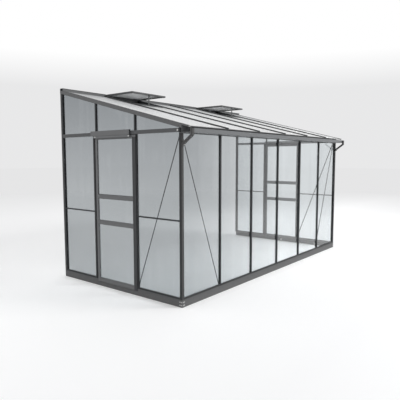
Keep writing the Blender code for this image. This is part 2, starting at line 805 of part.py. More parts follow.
def build_end_rails():
    for end, side in ENDS:
        faces = sorted((end_x(side, TRIM_FACE + FIT), end_x(side, TRIM_FACE + FIT + EAVES_RAIL_DEPTH)))
        loops = tube(*faces, EAVES_RAIL_TOP - EAVES_RAIL_HEIGHT, EAVES_RAIL_TOP, HEADER_WALL)
        length = END_BACK - END_FRONT
        extruded("eaves_rail_" + end, ANTHRACITE, loops, length, forwards(END_BACK))
        back = TRIM_FACE + 2 * FIT + EAVES_RAIL_DEPTH
        faces = sorted((end_x(side, back), end_x(side, back + HEADER_DEPTH)))
        loops = tube(*faces, EAVES_RAIL_TOP - EAVES_RAIL_HEIGHT, HEADER_TOP, HEADER_WALL)
        extruded("door_header_" + end, ANTHRACITE, loops, BAY, forwards(DOOR_Y + HEADER_SHIFT + BAY / 2))


# Eaves beam and gutter in one extrusion, with its end straps
def build_eaves():
    floor = BEAM_BOTTOM + GUTTER_WALL
    lip = GUTTER_REACH - GUTTER_WALL
    hem = GUTTER_REACH - GUTTER_HEM
    beam_back = POST_BACK
    outline = [
        (GUTTER_REACH, BEAM_BOTTOM),
        (GUTTER_REACH, GUTTER_LIP),
        (hem, GUTTER_LIP),
        (hem, GUTTER_LIP - GUTTER_WALL),
        (lip, GUTTER_LIP - GUTTER_WALL),
        (lip, floor),
        (BEAM_FACE, floor),
        (BEAM_FACE, roof_height(front_y(BEAM_FACE), GLAZING_TOP)),
        (beam_back, roof_height(front_y(beam_back), GLAZING_TOP)),
        (beam_back, BEAM_BOTTOM),
    ]
    inner_face = BEAM_FACE - BEAM_WALL
    inner_back = beam_back + BEAM_WALL
    hollow = [
        (inner_face, floor),
        (inner_face, roof_height(front_y(inner_face), GLAZING_TOP - BEAM_WALL)),
        (inner_back, roof_height(front_y(inner_back), GLAZING_TOP - BEAM_WALL)),
        (inner_back, floor),
    ]
    loops = [[(front_y(out), z) for out, z in loop] for loop in (outline, hollow)]
    reach = HALF_LENGTH + END_REACH
    extruded("eaves_gutter", ANTHRACITE, loops, 2 * reach, lengthwise(-reach))

    outer = GUTTER_REACH + FIT + STRAP_THICKNESS / 2
    inner = POST_FACE + FIT + STRAP_THICKNESS / 2
    path = [
        (front_y(outer), GUTTER_LIP - GUTTER_WALL),
        (front_y(outer), BEAM_BOTTOM - STRAP_BEND_DROP),
        (front_y(inner), BEAM_BOTTOM - STRAP_FOOT_DROP),
        (front_y(inner), BEAM_BOTTOM - STRAP_FOOT_DROP - STRAP_FOOT),
    ]
    for end, side in ENDS:
        middle = end_x(side, POST_FACE - POST_SIZE / 2)
        frame = lengthwise(middle - STRAP_WIDTH / 2)
        extruded("gutter_bracket_" + end, ANTHRACITE, [strip_outline(path, STRAP_THICKNESS)], STRAP_WIDTH, frame)


# Ridge profile: a wall plate with a shelf under the bars and a cover over their caps
def build_ridge():
    shelf_front = WALL_FACE_Y - WALL_POST_DEPTH
    shelf = -STEM_DEPTH - FIT
    outline = [
        (WALL_FACE_Y, RIDGE_TOP),
        (RIDGE_FRONT, RIDGE_TOP),
        (RIDGE_FRONT, LIP_BOTTOM),
        (RIDGE_FRONT + RIDGE_WALL, LIP_BOTTOM),
        (RIDGE_FRONT + RIDGE_WALL, RIDGE_TOP - RIDGE_WALL),
        (RIDGE_BACK, RIDGE_TOP - RIDGE_WALL),
        (RIDGE_BACK, roof_height(RIDGE_BACK, shelf)),
        (shelf_front, roof_height(shelf_front, shelf)),
        (shelf_front, roof_height(shelf_front, shelf - RIDGE_WALL)),
        (WALL_FACE_Y, roof_height(WALL_FACE_Y, shelf - RIDGE_WALL)),
    ]
    reach = HALF_LENGTH + END_REACH
    ridge = extruded("ridge_bar", ANTHRACITE, [outline], 2 * reach, lengthwise(-reach))
    for bay in VENT_BAYS:
        middle = bar_x(bay) - BAY / 2
        half = VENT_HALF_WIDTH + RIDGE_WALL
        low = (middle - half, RIDGE_FRONT - RIDGE_WALL, LIP_BOTTOM - RIDGE_WALL)
        high = (middle + half, WALL_FACE_Y - RIDGE_STUB, RIDGE_TOP + RIDGE_WALL)
        cut(ridge, box("vent_gap_%d" % bay, ANTHRACITE, low, high))


# Roof: bars laid up the slope, end bars, and the sheets between their webs
def laid_on_roof(name, material, loops, top, eave):
    length = (top - eave) / math.cos(ROOF_PITCH)
    return extruded(name, material, loops, length, down_slope(top))


def roof_bar_section(x):
    cap = CAP_WIDTH / 2
    web = CAP_WEB / 2
    shoulder = CAP_HEIGHT - CAP_CHAMFER
    half = [
        (cap - CAP_CHAMFER, CAP_HEIGHT),
        (cap, shoulder),
        (cap, FIT),
        (web, CAP_RECESS),
        (web, SHEET_SEAT),
        (cap, SHEET_SEAT),
        (cap, ROOF_SEAT),
    ]
    return [(x + a, n) for a, n in half] + [(x - a, n) for a, n in reversed(half)]


def stem_section(x):
    """The part of a roof bar that hangs below its shelf, inside the building."""
    stem = STEM / 2
    bead = STEM_BEAD_WIDTH / 2
    half = [
        (stem, ROOF_SEAT + ROOF_SHELF / 2),
        (stem, -STEM_DEPTH + STEM_BEAD),
        (bead, -STEM_DEPTH + STEM_BEAD),
        (bead, -STEM_DEPTH),
    ]
    return [(x + a, n) for a, n in half] + [(x - a, n) for a, n in reversed(half)]


def end_bar_section(side):
    face = END_BAR_FACE
    skin = END_BAR_FACE - END_BAR_WALL
    leg = END_BAR_LEG_FACE
    leg_back = END_BAR_LEG_FACE - END_BAR_WALL
    section = [
        (face, 0.0),
        (face, -END_BAR_DEPTH),
        (skin, -END_BAR_DEPTH),
        (skin, ROOF_SEAT),
        (leg, ROOF_SEAT),
        (leg, -END_BAR_LEG),
        (leg_back, -END_BAR_LEG),
        (leg_back, SHEET_SEAT),
        (skin, SHEET_SEAT),
        (skin, 0.0),
    ]
    return [(end_x(side, out), n) for out, n in section]


def eaves_notch(bar, name, side, outs, start):
    """Take off an end bar's lower part, within two distances out, from a depth to the eaves."""
    left, right = sorted(end_x(side, out) for out in outs)
    loop = rect(left, right, -2 * END_BAR_DEPTH, ROOF_SEAT + FIT)
    cut(bar, laid_on_roof(name, ANTHRACITE, [loop], start, front_y(2 * OVERHANG)))


def build_roof_bars():
    ridge_end = (0, RIDGE_BACK - FIT, 0)
    top = WALL_FACE_Y + RIDGE_WALL
    eave = front_y(OVERHANG)
    beam_back = front_y(POST_BACK - FIT)
    for index in range(1, LENGTH_BAYS):
        bar = laid_on_roof("roof_bar_%d" % index, BLACK, [roof_bar_section(bar_x(index))], top, eave)
        saw(bar, ridge_end, (0, 1, 0))
        loop = rect(bar_x(index) - CAP_WIDTH, bar_x(index) + CAP_WIDTH, 0.0, 2 * CAP_HEIGHT)
        cut(bar, laid_on_roof("cap_end_%d" % index, BLACK, [loop], top, RIDGE_FRONT - FIT))
        stem = laid_on_roof("roof_stem_%d" % index, BLACK, [stem_section(bar_x(index))], top, beam_back)
        saw(stem, (0, RIDGE_BACK - 2 * FIT, 0), (0, 1, 0))
        join(bar, stem)
    for end, side in ENDS:
        bar = laid_on_roof("roof_end_bar_" + end, ANTHRACITE, [end_bar_section(side)], top, eave)
        saw(bar, ridge_end, (0, 1, 0))
        middle = END_BAR_LEG_FACE + (END_BAR_FACE - END_BAR_LEG_FACE) / 3
        eaves_notch(bar, "leg_notch_" + end, side, (2 * END_BAR_LEG_FACE, middle), beam_back)
        eaves_notch(bar, "skin_notch_" + end, side, (middle, 2 * END_BAR_FACE), front_y(BEAM_FACE + BEAM_WALL))


def build_roof_panels():
    web = CAP_WEB / 2 + FIT
    reach = HALF_LENGTH + END_REACH
    eave = front_y(OVERHANG) + BEAM_WALL
    for bay in range(1, LENGTH_BAYS + 1):
        left = max(bar_x(bay - 1) + web, -reach) if bay > 1 else -reach
        right = bar_x(bay) - web if bay < LENGTH_BAYS else reach
        top = RIDGE_BACK - BEAM_WALL
        if bay in VENT_BAYS:
            top = STAY_Y - (SILL_WIDTH / 2 + FIT) * math.cos(ROOF_PITCH)
        laid_on_roof("roof_panel_%d" % bay, WHITE_SHEET, [rect(left, right, -SHEET, 0.0)], top, eave)


# Roof vents, fixed open: a level sash under the ridge cover, and a sill with its stay
def build_vents():
    for number, bay in enumerate(VENT_BAYS, 1):
        middle = bar_x(bay) - BAY / 2
        left = middle - VENT_HALF_WIDTH
        right = middle + VENT_HALF_WIDTH
        rim = VENT_RAIL
        loops = [
            rect(left, right, VENT_FRONT, VENT_REAR),
            rect(left + rim, right - rim, VENT_FRONT + rim, VENT_REAR - rim),
        ]
        sash = extruded("vent_frame_%d" % number, ANTHRACITE, loops, VENT_THICKNESS, upright(VENT_BOTTOM))
        edge = VENT_RAIL - VENT_REBATE
        gap = edge - FIT
        low = (left + gap, VENT_FRONT + gap, VENT_TOP - VENT_PANE - FIT)
        high = (right - gap, VENT_REAR - gap, VENT_TOP + VENT_PANE)
        cut(sash, box("vent_rebate_%d" % number, ANTHRACITE, low, high))
        pane = rect(left + edge, right - edge, VENT_FRONT + edge, VENT_REAR - edge)
        extruded("vent_pane_%d" % number, WHITE_SHEET, [pane], VENT_PANE, upright(VENT_TOP - VENT_PANE))

        between_webs = BAY / 2 - CAP_WEB / 2 - FIT
        between_caps = BAY / 2 - CAP_WIDTH / 2 - FIT
        slant = math.cos(ROOF_PITCH) / 2
        loop = rect(middle - between_webs, middle + between_webs, -SHEET, 0.0)
        low_edge = STAY_Y - SILL_WIDTH * slant
        high_edge = STAY_Y + SILL_WIDTH * slant
        sill = laid_on_roof("vent_sill_%d" % number, ANTHRACITE, [loop], high_edge, low_edge)
        loop = rect(middle - between_caps, middle + between_caps, -SHEET / 2, SILL_HEIGHT)
        low_edge = STAY_Y - SILL_UPSTAND * slant
        high_edge = STAY_Y + SILL_UPSTAND * slant
        join(sill, laid_on_roof("sill_upstand_%d" % number, ANTHRACITE, [loop], high_edge, low_edge))
        stay_foot = roof_height(STAY_Y, SILL_HEIGHT / 2)
        low = (middle - STAY_WIDTH / 2, STAY_Y - STAY_THICKNESS / 2, stay_foot)
        high = (middle + STAY_WIDTH / 2, STAY_Y + STAY_THICKNESS / 2, VENT_BOTTOM - FIT)
        join(sill, box("vent_stay_%d" % number, ANTHRACITE, low, high))


# Flat braces from the top of a corner post to the foot of the next bar, on both walls
def brace_outline(head, foot, inset):
    """A brace seen square on, from its head in a top corner to its foot on the next bar."""
    way = 1 if foot > head else -1
    start = head + way * inset
    run = abs(foot - start)
    drop = WALL_TOP - BASE_TOP
    upright_cut = BRACE_WIDTH * math.hypot(run, drop) / run
    knee = BRACE_HEAD / drop
    return [
        (head, WALL_TOP),
        (head, WALL_TOP - BRACE_HEAD),
        (start + way * run * knee, WALL_TOP - upright_cut - (drop - upright_cut) * knee),
        (foot, BASE_TOP),
        (foot, BASE_TOP + upright_cut),
        (start, WALL_TOP),
    ]


def build_braces():
    plane = POST_BACK - FIT
    fin_back = BAR_FACE - POST_FIN_THICKNESS - FIT
    brace_back = plane - BRACE_THICKNESS - FIT
    heel = BAR_RIB / 2 - BRACE_FOOT_LAP
    for end, side in ENDS:
        outline = brace_outline(front_y(fin_back), DOOR_Y - BAY / 2 - heel, BRACE_INSET_END)
        end_plate("brace_%s_end" % end, ANTHRACITE, [outline], plane, BRACE_THICKNESS, side)
        outline = brace_outline(end_x(side, brace_back), end_x(side, -BAY + heel), BRACE_INSET_FRONT)
        frame = forwards(front_y(plane - BRACE_THICKNESS))
        extruded("brace_%s_front" % end, ANTHRACITE, [outline], BRACE_THICKNESS, frame)


clear_scene()
build_base()
build_posts()
build_front_bars()
build_door_posts()
build_doors()
build_end_glazing()
build_front_glazing()
build_end_rails()
build_eaves()
build_ridge()
build_roof_bars()
build_roof_panels()
build_vents()
build_braces()
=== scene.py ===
"""Lean-to greenhouse: a powder-coated aluminium frame on a low base, glazed with toughened glass.

The roof is ribbed opal sheet with two vents propped open, and each end wall has a hinged door.
The file follows the order in which such a building is put together, from the base up.
"""
import math
import bpy
import bmesh
from mathutils import Matrix, Vector


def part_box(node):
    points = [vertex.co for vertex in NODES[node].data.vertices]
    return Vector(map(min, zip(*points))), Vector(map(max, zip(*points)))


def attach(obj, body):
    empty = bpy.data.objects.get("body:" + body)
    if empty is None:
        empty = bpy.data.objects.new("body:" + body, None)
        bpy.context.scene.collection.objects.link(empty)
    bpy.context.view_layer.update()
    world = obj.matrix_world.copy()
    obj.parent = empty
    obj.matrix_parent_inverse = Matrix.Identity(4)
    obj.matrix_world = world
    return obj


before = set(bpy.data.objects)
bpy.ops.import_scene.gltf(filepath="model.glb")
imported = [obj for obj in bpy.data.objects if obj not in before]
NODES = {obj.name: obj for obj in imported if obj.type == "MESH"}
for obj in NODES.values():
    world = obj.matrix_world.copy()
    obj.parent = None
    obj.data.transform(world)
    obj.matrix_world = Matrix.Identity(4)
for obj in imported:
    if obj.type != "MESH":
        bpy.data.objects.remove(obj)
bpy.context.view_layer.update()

ENDS = (("near", -1), ("far", 1))


# Base channel
# Three lengths of folded aluminium channel, mitred at the front corners and powder-coated in a
# lighter grey than the frame. They carry the whole frame, and the posts and bars are bolted to them.

def new_group(name, inputs, outputs):
    """A shader node group with named sockets, and its input and output nodes."""
    tree = bpy.data.node_groups.new(name, "ShaderNodeTree")
    for label, kind, value in inputs:
        socket = tree.interface.new_socket(label, in_out="INPUT", socket_type="NodeSocket" + kind)
        socket.default_value = value
    for label, kind in outputs:
        tree.interface.new_socket(label, in_out="OUTPUT", socket_type="NodeSocket" + kind)
    return tree, tree.nodes.new("NodeGroupInput"), tree.nodes.new("NodeGroupOutput")


def maths(tree, operation, a, b=None, c=None, clamp=False):
    """A Math node; each of a, b and c is a socket or a number."""
    node = tree.nodes.new("ShaderNodeMath")
    node.operation = operation
    node.use_clamp = clamp
    for socket, value in zip(node.inputs, (a, b, c)):
        if isinstance(value, bpy.types.NodeSocket):
            tree.links.new(value, socket)
        elif value is not None:
            socket.default_value = value
    return node.outputs[0]


def noise(tree, vector, scale, detail=2.0, roughness=0.5):
    """Soft noise, from 0 to 1."""
    node = tree.nodes.new("ShaderNodeTexNoise")
    node.inputs["Scale"].default_value = scale
    node.inputs["Detail"].default_value = detail
    node.inputs["Roughness"].default_value = roughness
    tree.links.new(vector, node.inputs["Vector"])
    return node.outputs["Fac"]


def sway(tree, pattern, amount, middle):
    """A pattern from 0 to 1, turned into a swing of some amount about a middle value."""
    return maths(tree, "MULTIPLY_ADD", maths(tree, "SUBTRACT", pattern, 0.5), amount, middle)


def ramp(tree, value, low, high, out_low=0.0, out_high=1.0):
    """A value carried from one range to another, held at the ends."""
    node = tree.nodes.new("ShaderNodeMapRange")
    node.clamp = True
    for label, number in (("From Min", low), ("From Max", high), ("To Min", out_low), ("To Max", out_high)):
        node.inputs[label].default_value = number
    tree.links.new(value, node.inputs["Value"])
    return node.outputs["Result"]


def blend_colours(tree, mask, first, second):
    """Two colours, each a socket or a plain colour, mixed by a mask."""
    node = tree.nodes.new("ShaderNodeMix")
    node.data_type = "RGBA"
    tree.links.new(mask, node.inputs["Factor"])
    for label, colour in (("A", first), ("B", second)):
        socket = [s for s in node.inputs if s.name == label and s.type == "RGBA"][0]
        if isinstance(colour, tuple):
            socket.default_value = (*colour, 1.0)
        else:
            tree.links.new(colour, socket)
    return [s for s in node.outputs if s.type == "RGBA"][0]


def scaled(tree, colour, factor):
    """A colour made lighter or darker by a factor."""
    node = tree.nodes.new("ShaderNodeVectorMath")
    node.operation = "SCALE"
    tree.links.new(colour, node.inputs[0])
    tree.links.new(factor, node.inputs["Scale"])
    return node.outputs["Vector"]


def object_place(tree):
    return tree.nodes.new("ShaderNodeTexCoord").outputs["Object"]


def split_axes(tree, place):
    """A place's X, Y and Z as three sockets."""
    node = tree.nodes.new("ShaderNodeSeparateXYZ")
    tree.links.new(place, node.inputs["Vector"])
    return node.outputs


def build_coat_grain():
    """Powder coat: fine orange peel, faint clouds in the shade, and dust that settles low down."""
    tree, given, made = new_group(
        "coat_grain",
        [("Place", "Vector", (0.0, 0.0, 0.0)), ("Colour", "Color", (0.1, 0.1, 0.1, 1.0)),
         ("Roughness", "Float", 0.5), ("Clouds", "Float", 0.12), ("Dust", "Float", 0.25)],
        [("Colour", "Color"), ("Roughness", "Float"), ("Height", "Float")],
    )
    dust_colour = (0.42, 0.40, 0.37)
    dust_top = 0.10
    place = given.outputs["Place"]
    peel = noise(tree, place, scale=620.0)
    speckle = noise(tree, place, scale=1900.0, detail=1.0)
    clouds = noise(tree, place, scale=5.0, detail=3.0, roughness=0.6)
    shade = sway(tree, clouds, given.outputs["Clouds"], middle=1.0)
    fleck = sway(tree, speckle, amount=0.16, middle=shade)
    tinted = scaled(tree, given.outputs["Colour"], fleck)
    low_down = ramp(tree, split_axes(tree, place)["Z"], 0.0, dust_top, 1.0, 0.15)
    patch = ramp(tree, noise(tree, place, scale=70.0, detail=5.0, roughness=0.7), 0.36, 0.74)
    dust = maths(tree, "MULTIPLY", maths(tree, "MULTIPLY", low_down, patch), given.outputs["Dust"])
    colour = blend_colours(tree, dust, tinted, dust_colour)
    rough = sway(tree, clouds, amount=0.16, middle=given.outputs["Roughness"])
    rough = maths(tree, "ADD", rough, maths(tree, "MULTIPLY", dust, 0.3), clamp=True)
    height = maths(tree, "ADD", peel, maths(tree, "MULTIPLY", speckle, 0.3))
    tree.links.new(colour, made.inputs["Colour"])
    tree.links.new(rough, made.inputs["Roughness"])
    tree.links.new(height, made.inputs["Height"])
    return tree


def build_edge_rub():
    """A mask of the arrises, where the coat is thin and rubbed by handling."""
    tree, given, made = new_group(
        "edge_rub",
        [("Place", "Vector", (0.0, 0.0, 0.0)), ("Radius", "Float", 0.0012), ("Amount", "Float", 0.5)],
        [("Mask", "Float")],
    )
    rounded = tree.nodes.new("ShaderNodeBevel")
    rounded.samples = 4
    tree.links.new(given.outputs["Radius"], rounded.inputs["Radius"])
    facing = tree.nodes.new("ShaderNodeNewGeometry")
    match = tree.nodes.new("ShaderNodeVectorMath")
    match.operation = "DOT_PRODUCT"
    tree.links.new(rounded.outputs["Normal"], match.inputs[0])
    tree.links.new(facing.outputs["Normal"], match.inputs[1])
    edge = ramp(tree, match.outputs["Value"], 0.82, 0.99, 1.0, 0.0)
    worn = ramp(tree, noise(tree, given.outputs["Place"], scale=45.0, detail=5.0, roughness=0.7), 0.38, 0.66)
    mask = maths(tree, "MULTIPLY", maths(tree, "MULTIPLY", edge, worn), given.outputs["Amount"])
    tree.links.new(mask, made.inputs["Mask"])
    return tree


COAT_GRAIN = build_coat_grain()
EDGE_RUB = build_edge_rub()
COAT_RUB_RADIUS = 0.0012
ZINC_RUB_RADIUS = 0.0006


def start_material(name):
    material = bpy.data.materials.new(name)
    material.use_nodes = True
    return material, material.node_tree, material.node_tree.nodes["Principled BSDF"]


def use_group(tree, group, links):
    node = tree.nodes.new("ShaderNodeGroup")
    node.node_tree = group
    for label, value in links.items():
        if isinstance(value, bpy.types.NodeSocket):
            tree.links.new(value, node.inputs[label])
        else:
            node.inputs[label].default_value = value
    return node


def add_bump(tree, shader, height, strength, distance):
    bump = tree.nodes.new("ShaderNodeBump")
    bump.inputs["Strength"].default_value = strength
    bump.inputs["Distance"].default_value = distance
    tree.links.new(height, bump.inputs["Height"])
    tree.links.new(bump.outputs["Normal"], shader.inputs["Normal"])


def powder_coat(name, colour, roughness, clouds=0.12, dust=0.25, rub=0.5):
    """Satin powder coat on aluminium."""
    material, tree, shader = start_material(name)
    place = object_place(tree)
    grain = use_group(tree, COAT_GRAIN, {
        "Place": place, "Colour": (*colour, 1.0), "Roughness": roughness, "Clouds": clouds, "Dust": dust})
    rubbed = use_group(tree, EDGE_RUB, {"Place": place, "Radius": COAT_RUB_RADIUS, "Amount": rub})
    lighter = tuple(min(1.0, c * 1.9 + 0.02) for c in colour)
    shown = blend_colours(tree, rubbed.outputs["Mask"], grain.outputs["Colour"], lighter)
    tree.links.new(shown, shader.inputs["Base Color"])
    tree.links.new(grain.outputs["Roughness"], shader.inputs["Roughness"])
    add_bump(tree, shader, grain.outputs["Height"], strength=0.25, distance=0.0002)
    shader.inputs["Metallic"].default_value = 0.0
    shader.inputs["Specular IOR Level"].default_value = 0.5
    return material


def finish_node(node, material):
    """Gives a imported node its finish."""
    for slot in NODES[node].material_slots:
        slot.material = material


BASE_COAT = powder_coat("base_coat", (0.088, 0.090, 0.092), 0.48, clouds=0.25, dust=0.16)
for rail in ("front", "near", "far"):
    finish_node("base_rail_" + rail, BASE_COAT)


def zinc_plate():
    """Bright zinc plating on the fasteners: mottled, and duller where it is handled."""
    material, tree, shader = start_material("zinc_plate")
    place = object_place(tree)
    mottle = ramp(tree, noise(tree, place, scale=160.0, detail=3.0, roughness=0.6), 0.35, 0.7)
    tone = blend_colours(tree, mottle, (0.66, 0.66, 0.65), (0.48, 0.48, 0.47))
    rubbed = use_group(tree, EDGE_RUB, {"Place": place, "Radius": ZINC_RUB_RADIUS, "Amount": 0.6})
    shown = blend_colours(tree, rubbed.outputs["Mask"], tone, (0.78, 0.78, 0.77))
    tree.links.new(shown, shader.inputs["Base Color"])
    tree.links.new(ramp(tree, mottle, 0.0, 1.0, 0.32, 0.5), shader.inputs["Roughness"])
    shader.inputs["Metallic"].default_value = 0.85
    return material


def finish_piece(name, bm, material, body="greenhouse"):
    """Turns a bmesh into a finished piece that rides on a body."""
    bmesh.ops.recalc_face_normals(bm, faces=bm.faces)
    mesh = bpy.data.meshes.new(name)
    bm.to_mesh(mesh)
    bm.free()
    mesh.materials.append(material)
    piece = bpy.data.objects.new(name, mesh)
    bpy.context.scene.collection.objects.link(piece)
    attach(piece, body)
    return piece


def add_block(bm, low, high, arris=0.0, seat=Matrix.Identity(4)):
    """A block between two corners, measured from a seat, with its arrises eased."""
    low, high = Vector(map(min, low, high)), Vector(map(max, low, high))
    size = high - low
    where = seat @ Matrix.Translation((low + high) / 2) @ Matrix.Diagonal((*size, 1.0))
    made = bmesh.ops.create_cube(bm, size=1.0, matrix=where)
    if arris:
        edges = list({edge for vert in made["verts"] for edge in vert.link_edges})
        bmesh.ops.bevel(bm, geom=edges, offset=arris, segments=2, profile=0.5, affect="EDGES", material=-1)


def add_bolt(bm, place, facing, radius=0.0042, height=0.0026, washer=True):
    """A domed head with a sunk socket, on a thin washer unless told otherwise."""
    sides = 12
    plate = 0.0008
    axis = Vector(facing).normalized()
    turn = axis.to_track_quat("Z", "Y").to_matrix().to_4x4()
    foot = Vector(place)
    if washer:
        bmesh.ops.create_cone(
            bm, cap_ends=True, segments=16, radius1=radius * 1.5, radius2=radius * 1.42, depth=plate,
            matrix=Matrix.Translation(foot + axis * plate / 2) @ turn)
        foot = foot + axis * plate
    made = bmesh.ops.create_cone(
        bm, cap_ends=True, segments=sides, radius1=radius, radius2=radius * 0.78, depth=height,
        matrix=Matrix.Translation(foot + axis * height / 2) @ turn)
    faces = {face for vert in made["verts"] for face in vert.link_faces}
    top = max(faces, key=lambda face: face.calc_center_median().dot(axis))
    rim = list(top.edges)
    bmesh.ops.bevel(bm, geom=rim, offset=radius * 0.16, segments=2, profile=0.5, affect="EDGES", material=-1)
    crown = foot + axis * height
    faces = [face for face in bm.faces if len(face.verts) == sides]
    top = min(faces, key=lambda face: (face.calc_center_median() - crown).length)
    bmesh.ops.inset_individual(bm, faces=[top], thickness=radius * 0.22)
    bmesh.ops.translate(bm, verts=top.verts, vec=-axis * height * 0.55)


ZINC = zinc_plate()
FRONT_LOW, FRONT_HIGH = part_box("base_rail_front")
END_FACE = FRONT_HIGH.x
FRONT_FACE = FRONT_LOW.y
BASE_TOP = FRONT_HIGH.z
ARRIS = 0.0004
PLATE = 0.0016
PLATE_REACH = 0.040
PLATE_HEIGHT = 0.058
PLATE_BOLT = 0.0046


def base_corner_plates():
    """Folded corner plates over the mitres, each leg held by four bolts."""
    plates = bmesh.new()
    bolts = bmesh.new()
    low = (BASE_TOP - PLATE_HEIGHT) / 2
    high = low + PLATE_HEIGHT
    for end, side in ENDS:
        x = side * END_FACE
        corner = (x, FRONT_FACE - PLATE, low)
        add_block(plates, corner, (x - side * PLATE_REACH, FRONT_FACE, high), ARRIS)
        add_block(plates, corner, (x + side * PLATE, FRONT_FACE + PLATE_REACH, high), ARRIS)
        for along in (PLATE_REACH * 0.28, PLATE_REACH * 0.75):
            for z in (low + PLATE_HEIGHT * 0.24, low + PLATE_HEIGHT * 0.76):
                add_bolt(bolts, (x - side * along, FRONT_FACE - PLATE, z), (0, -1, 0), PLATE_BOLT)
                add_bolt(bolts, (x + side * PLATE, FRONT_FACE + along, z), (side, 0, 0), PLATE_BOLT)
    finish_piece("base_corner_plates", plates, BASE_COAT)
    finish_piece("base_corner_bolts", bolts, ZINC)


base_corner_plates()


def base_anchors():
    """Angle cleats on the channel's inner lip, one to a bay, each with a bolt down through its foot."""
    cleats = bmesh.new()
    bolts = bmesh.new()
    skin = 0.0035
    sheet = 0.003
    depth = 0.020
    height = 0.030
    half = 0.016
    setback = 0.010
    bay = (END_FACE - setback) / 3
    up = Vector((0, 0, 1))
    spots = []
    for number in range(6):
        foot = Vector(((number - 2.5) * bay, FRONT_FACE + skin, skin))
        spots.append((foot, Vector((0, 1, 0)), Vector((1, 0, 0))))
    for end, side in ENDS:
        for number in range(3):
            foot = Vector((side * (END_FACE - skin), FRONT_FACE + setback + (number + 0.5) * bay, skin))
            spots.append((foot, Vector((-side, 0, 0)), Vector((0, 1, 0))))
    for foot, inward, along in spots:
        start = foot - along * half
        stop = foot + along * half
        add_block(cleats, start, stop + inward * depth + up * sheet, ARRIS)
        add_block(cleats, start, stop + inward * sheet + up * height, ARRIS)
        add_bolt(bolts, foot + inward * depth * 0.6 + up * sheet, up, 0.0062, 0.005)
    finish_piece("base_anchor_cleats", cleats, ZINC)
    finish_piece("base_anchor_bolts", bolts, ZINC)


base_anchors()


# Corner posts, wall posts and glazing bars
# Extruded aluminium: square hollow posts with glazing fins, and T-shaped bars behind the glass.
# Each is bolted to the base channel at its foot and to the eaves beam or roof bar at its head.

BARS = range(1, 6)
BLACK_COLOUR = (0.022, 0.024, 0.026)


def recolour(material, mask, colour):
    """Shows another colour where a mask is on."""
    tree = material.node_tree
    socket = tree.nodes["Principled BSDF"].inputs["Base Color"]
    coat = socket.links[0].from_socket
    tree.links.new(blend_colours(tree, mask, coat, colour), socket)


def past_end_plane(tree, start):
    """A mask of what lies further out than a plane across the building, at both ends."""
    outward = maths(tree, "ABSOLUTE", split_axes(tree, object_place(tree))["X"])
    return ramp(tree, outward, start, start + 0.0004)


def post_coat():
    """The corner posts' coat, with the side that clips to the end wall's trim left black."""
    material = powder_coat("post_coat", (0.034, 0.034, 0.034), 0.42)
    recolour(material, past_end_plane(material.node_tree, END_FACE - 0.0008), (0.012, 0.013, 0.014))
    return material


POST_COAT = post_coat()
BAR_COAT = powder_coat("bar_coat", BLACK_COLOUR, 0.40)
for end, side in ENDS:
    finish_node("corner_post_" + end, POST_COAT)
    finish_node("wall_post_" + end, BAR_COAT)
    finish_node("door_post_%s_front" % end, BAR_COAT)
    finish_node("door_post_%s_wall" % end, BAR_COAT)
for index in BARS:
    finish_node("front_bar_%d" % index, BAR_COAT)


def bar_cleats():
    """Small angles inside the wall that tie each front bar to the base and to the eaves beam."""
    cleats = bmesh.new()
    bolts = bmesh.new()
    leg = 0.022
    half = 0.009
    sheet = 0.002
    bolt = 0.0036
    # The outer bars' lower cleats stand aside, clear of the braces' feet.
    aside = {1: 0.019, 5: -0.019}
    for index in BARS:
        low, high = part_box("front_bar_%d" % index)
        back = high.y + 0.0002
        for foot, way in ((low.z, 1), (high.z, -1)):
            x = (low.x + high.x) / 2
            if way > 0:
                x += aside.get(index, 0.0)
            corner = (x - half, back, foot)
            add_block(cleats, corner, (x + half, back + leg, foot + way * sheet), ARRIS)
            add_block(cleats, corner, (x + half, back + sheet, foot + way * leg), ARRIS)
            add_bolt(bolts, (x, back + leg * 0.6, foot + way * sheet), (0, 0, way), bolt, washer=False)
            add_bolt(bolts, (x, back + sheet, foot + way * leg * 0.6), (0, 1, 0), bolt, washer=False)
    finish_piece("bar_cleats", cleats, ZINC)
    finish_piece("bar_cleat_bolts", bolts, ZINC)


SCREW = 0.0032
SCREW_HEIGHT = 0.0018


def add_screw(bm, place, facing, radius=SCREW, height=SCREW_HEIGHT):
    """A pan head without a washer."""
    add_bolt(bm, place, facing, radius, height, washer=False)


def post_screws():
    """Dark pan-head screws through the corner posts, just above the base and below the eaves."""
    bm = bmesh.new()
    middle = 0.014
    for end, side in ENDS:
        low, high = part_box("corner_post_" + end)
        outer = side * END_FACE
        feet = (low.z + 0.020, low.z + 0.048)
        for z in (*feet, high.z - 0.030):
            add_screw(bm, (outer, FRONT_FACE + middle, z), (side, 0, 0))
        for z in feet:
            add_screw(bm, (outer - side * middle, FRONT_FACE, z), (0, -1, 0))
    finish_piece("post_screws", bm, BAR_COAT)


bar_cleats()
post_screws()


# Braces
# Flat aluminium strips across the corner bays, each with a lip turned up along its lower edge.
# Each is bolted to the corner post at its head and to the next post or bar at its foot.

BRACE_COAT = powder_coat("brace_coat", (0.018, 0.019, 0.020), 0.42)
for end, side in ENDS:
    finish_node("brace_%s_end" % end, BRACE_COAT)
    finish_node("brace_%s_front" % end, BRACE_COAT)


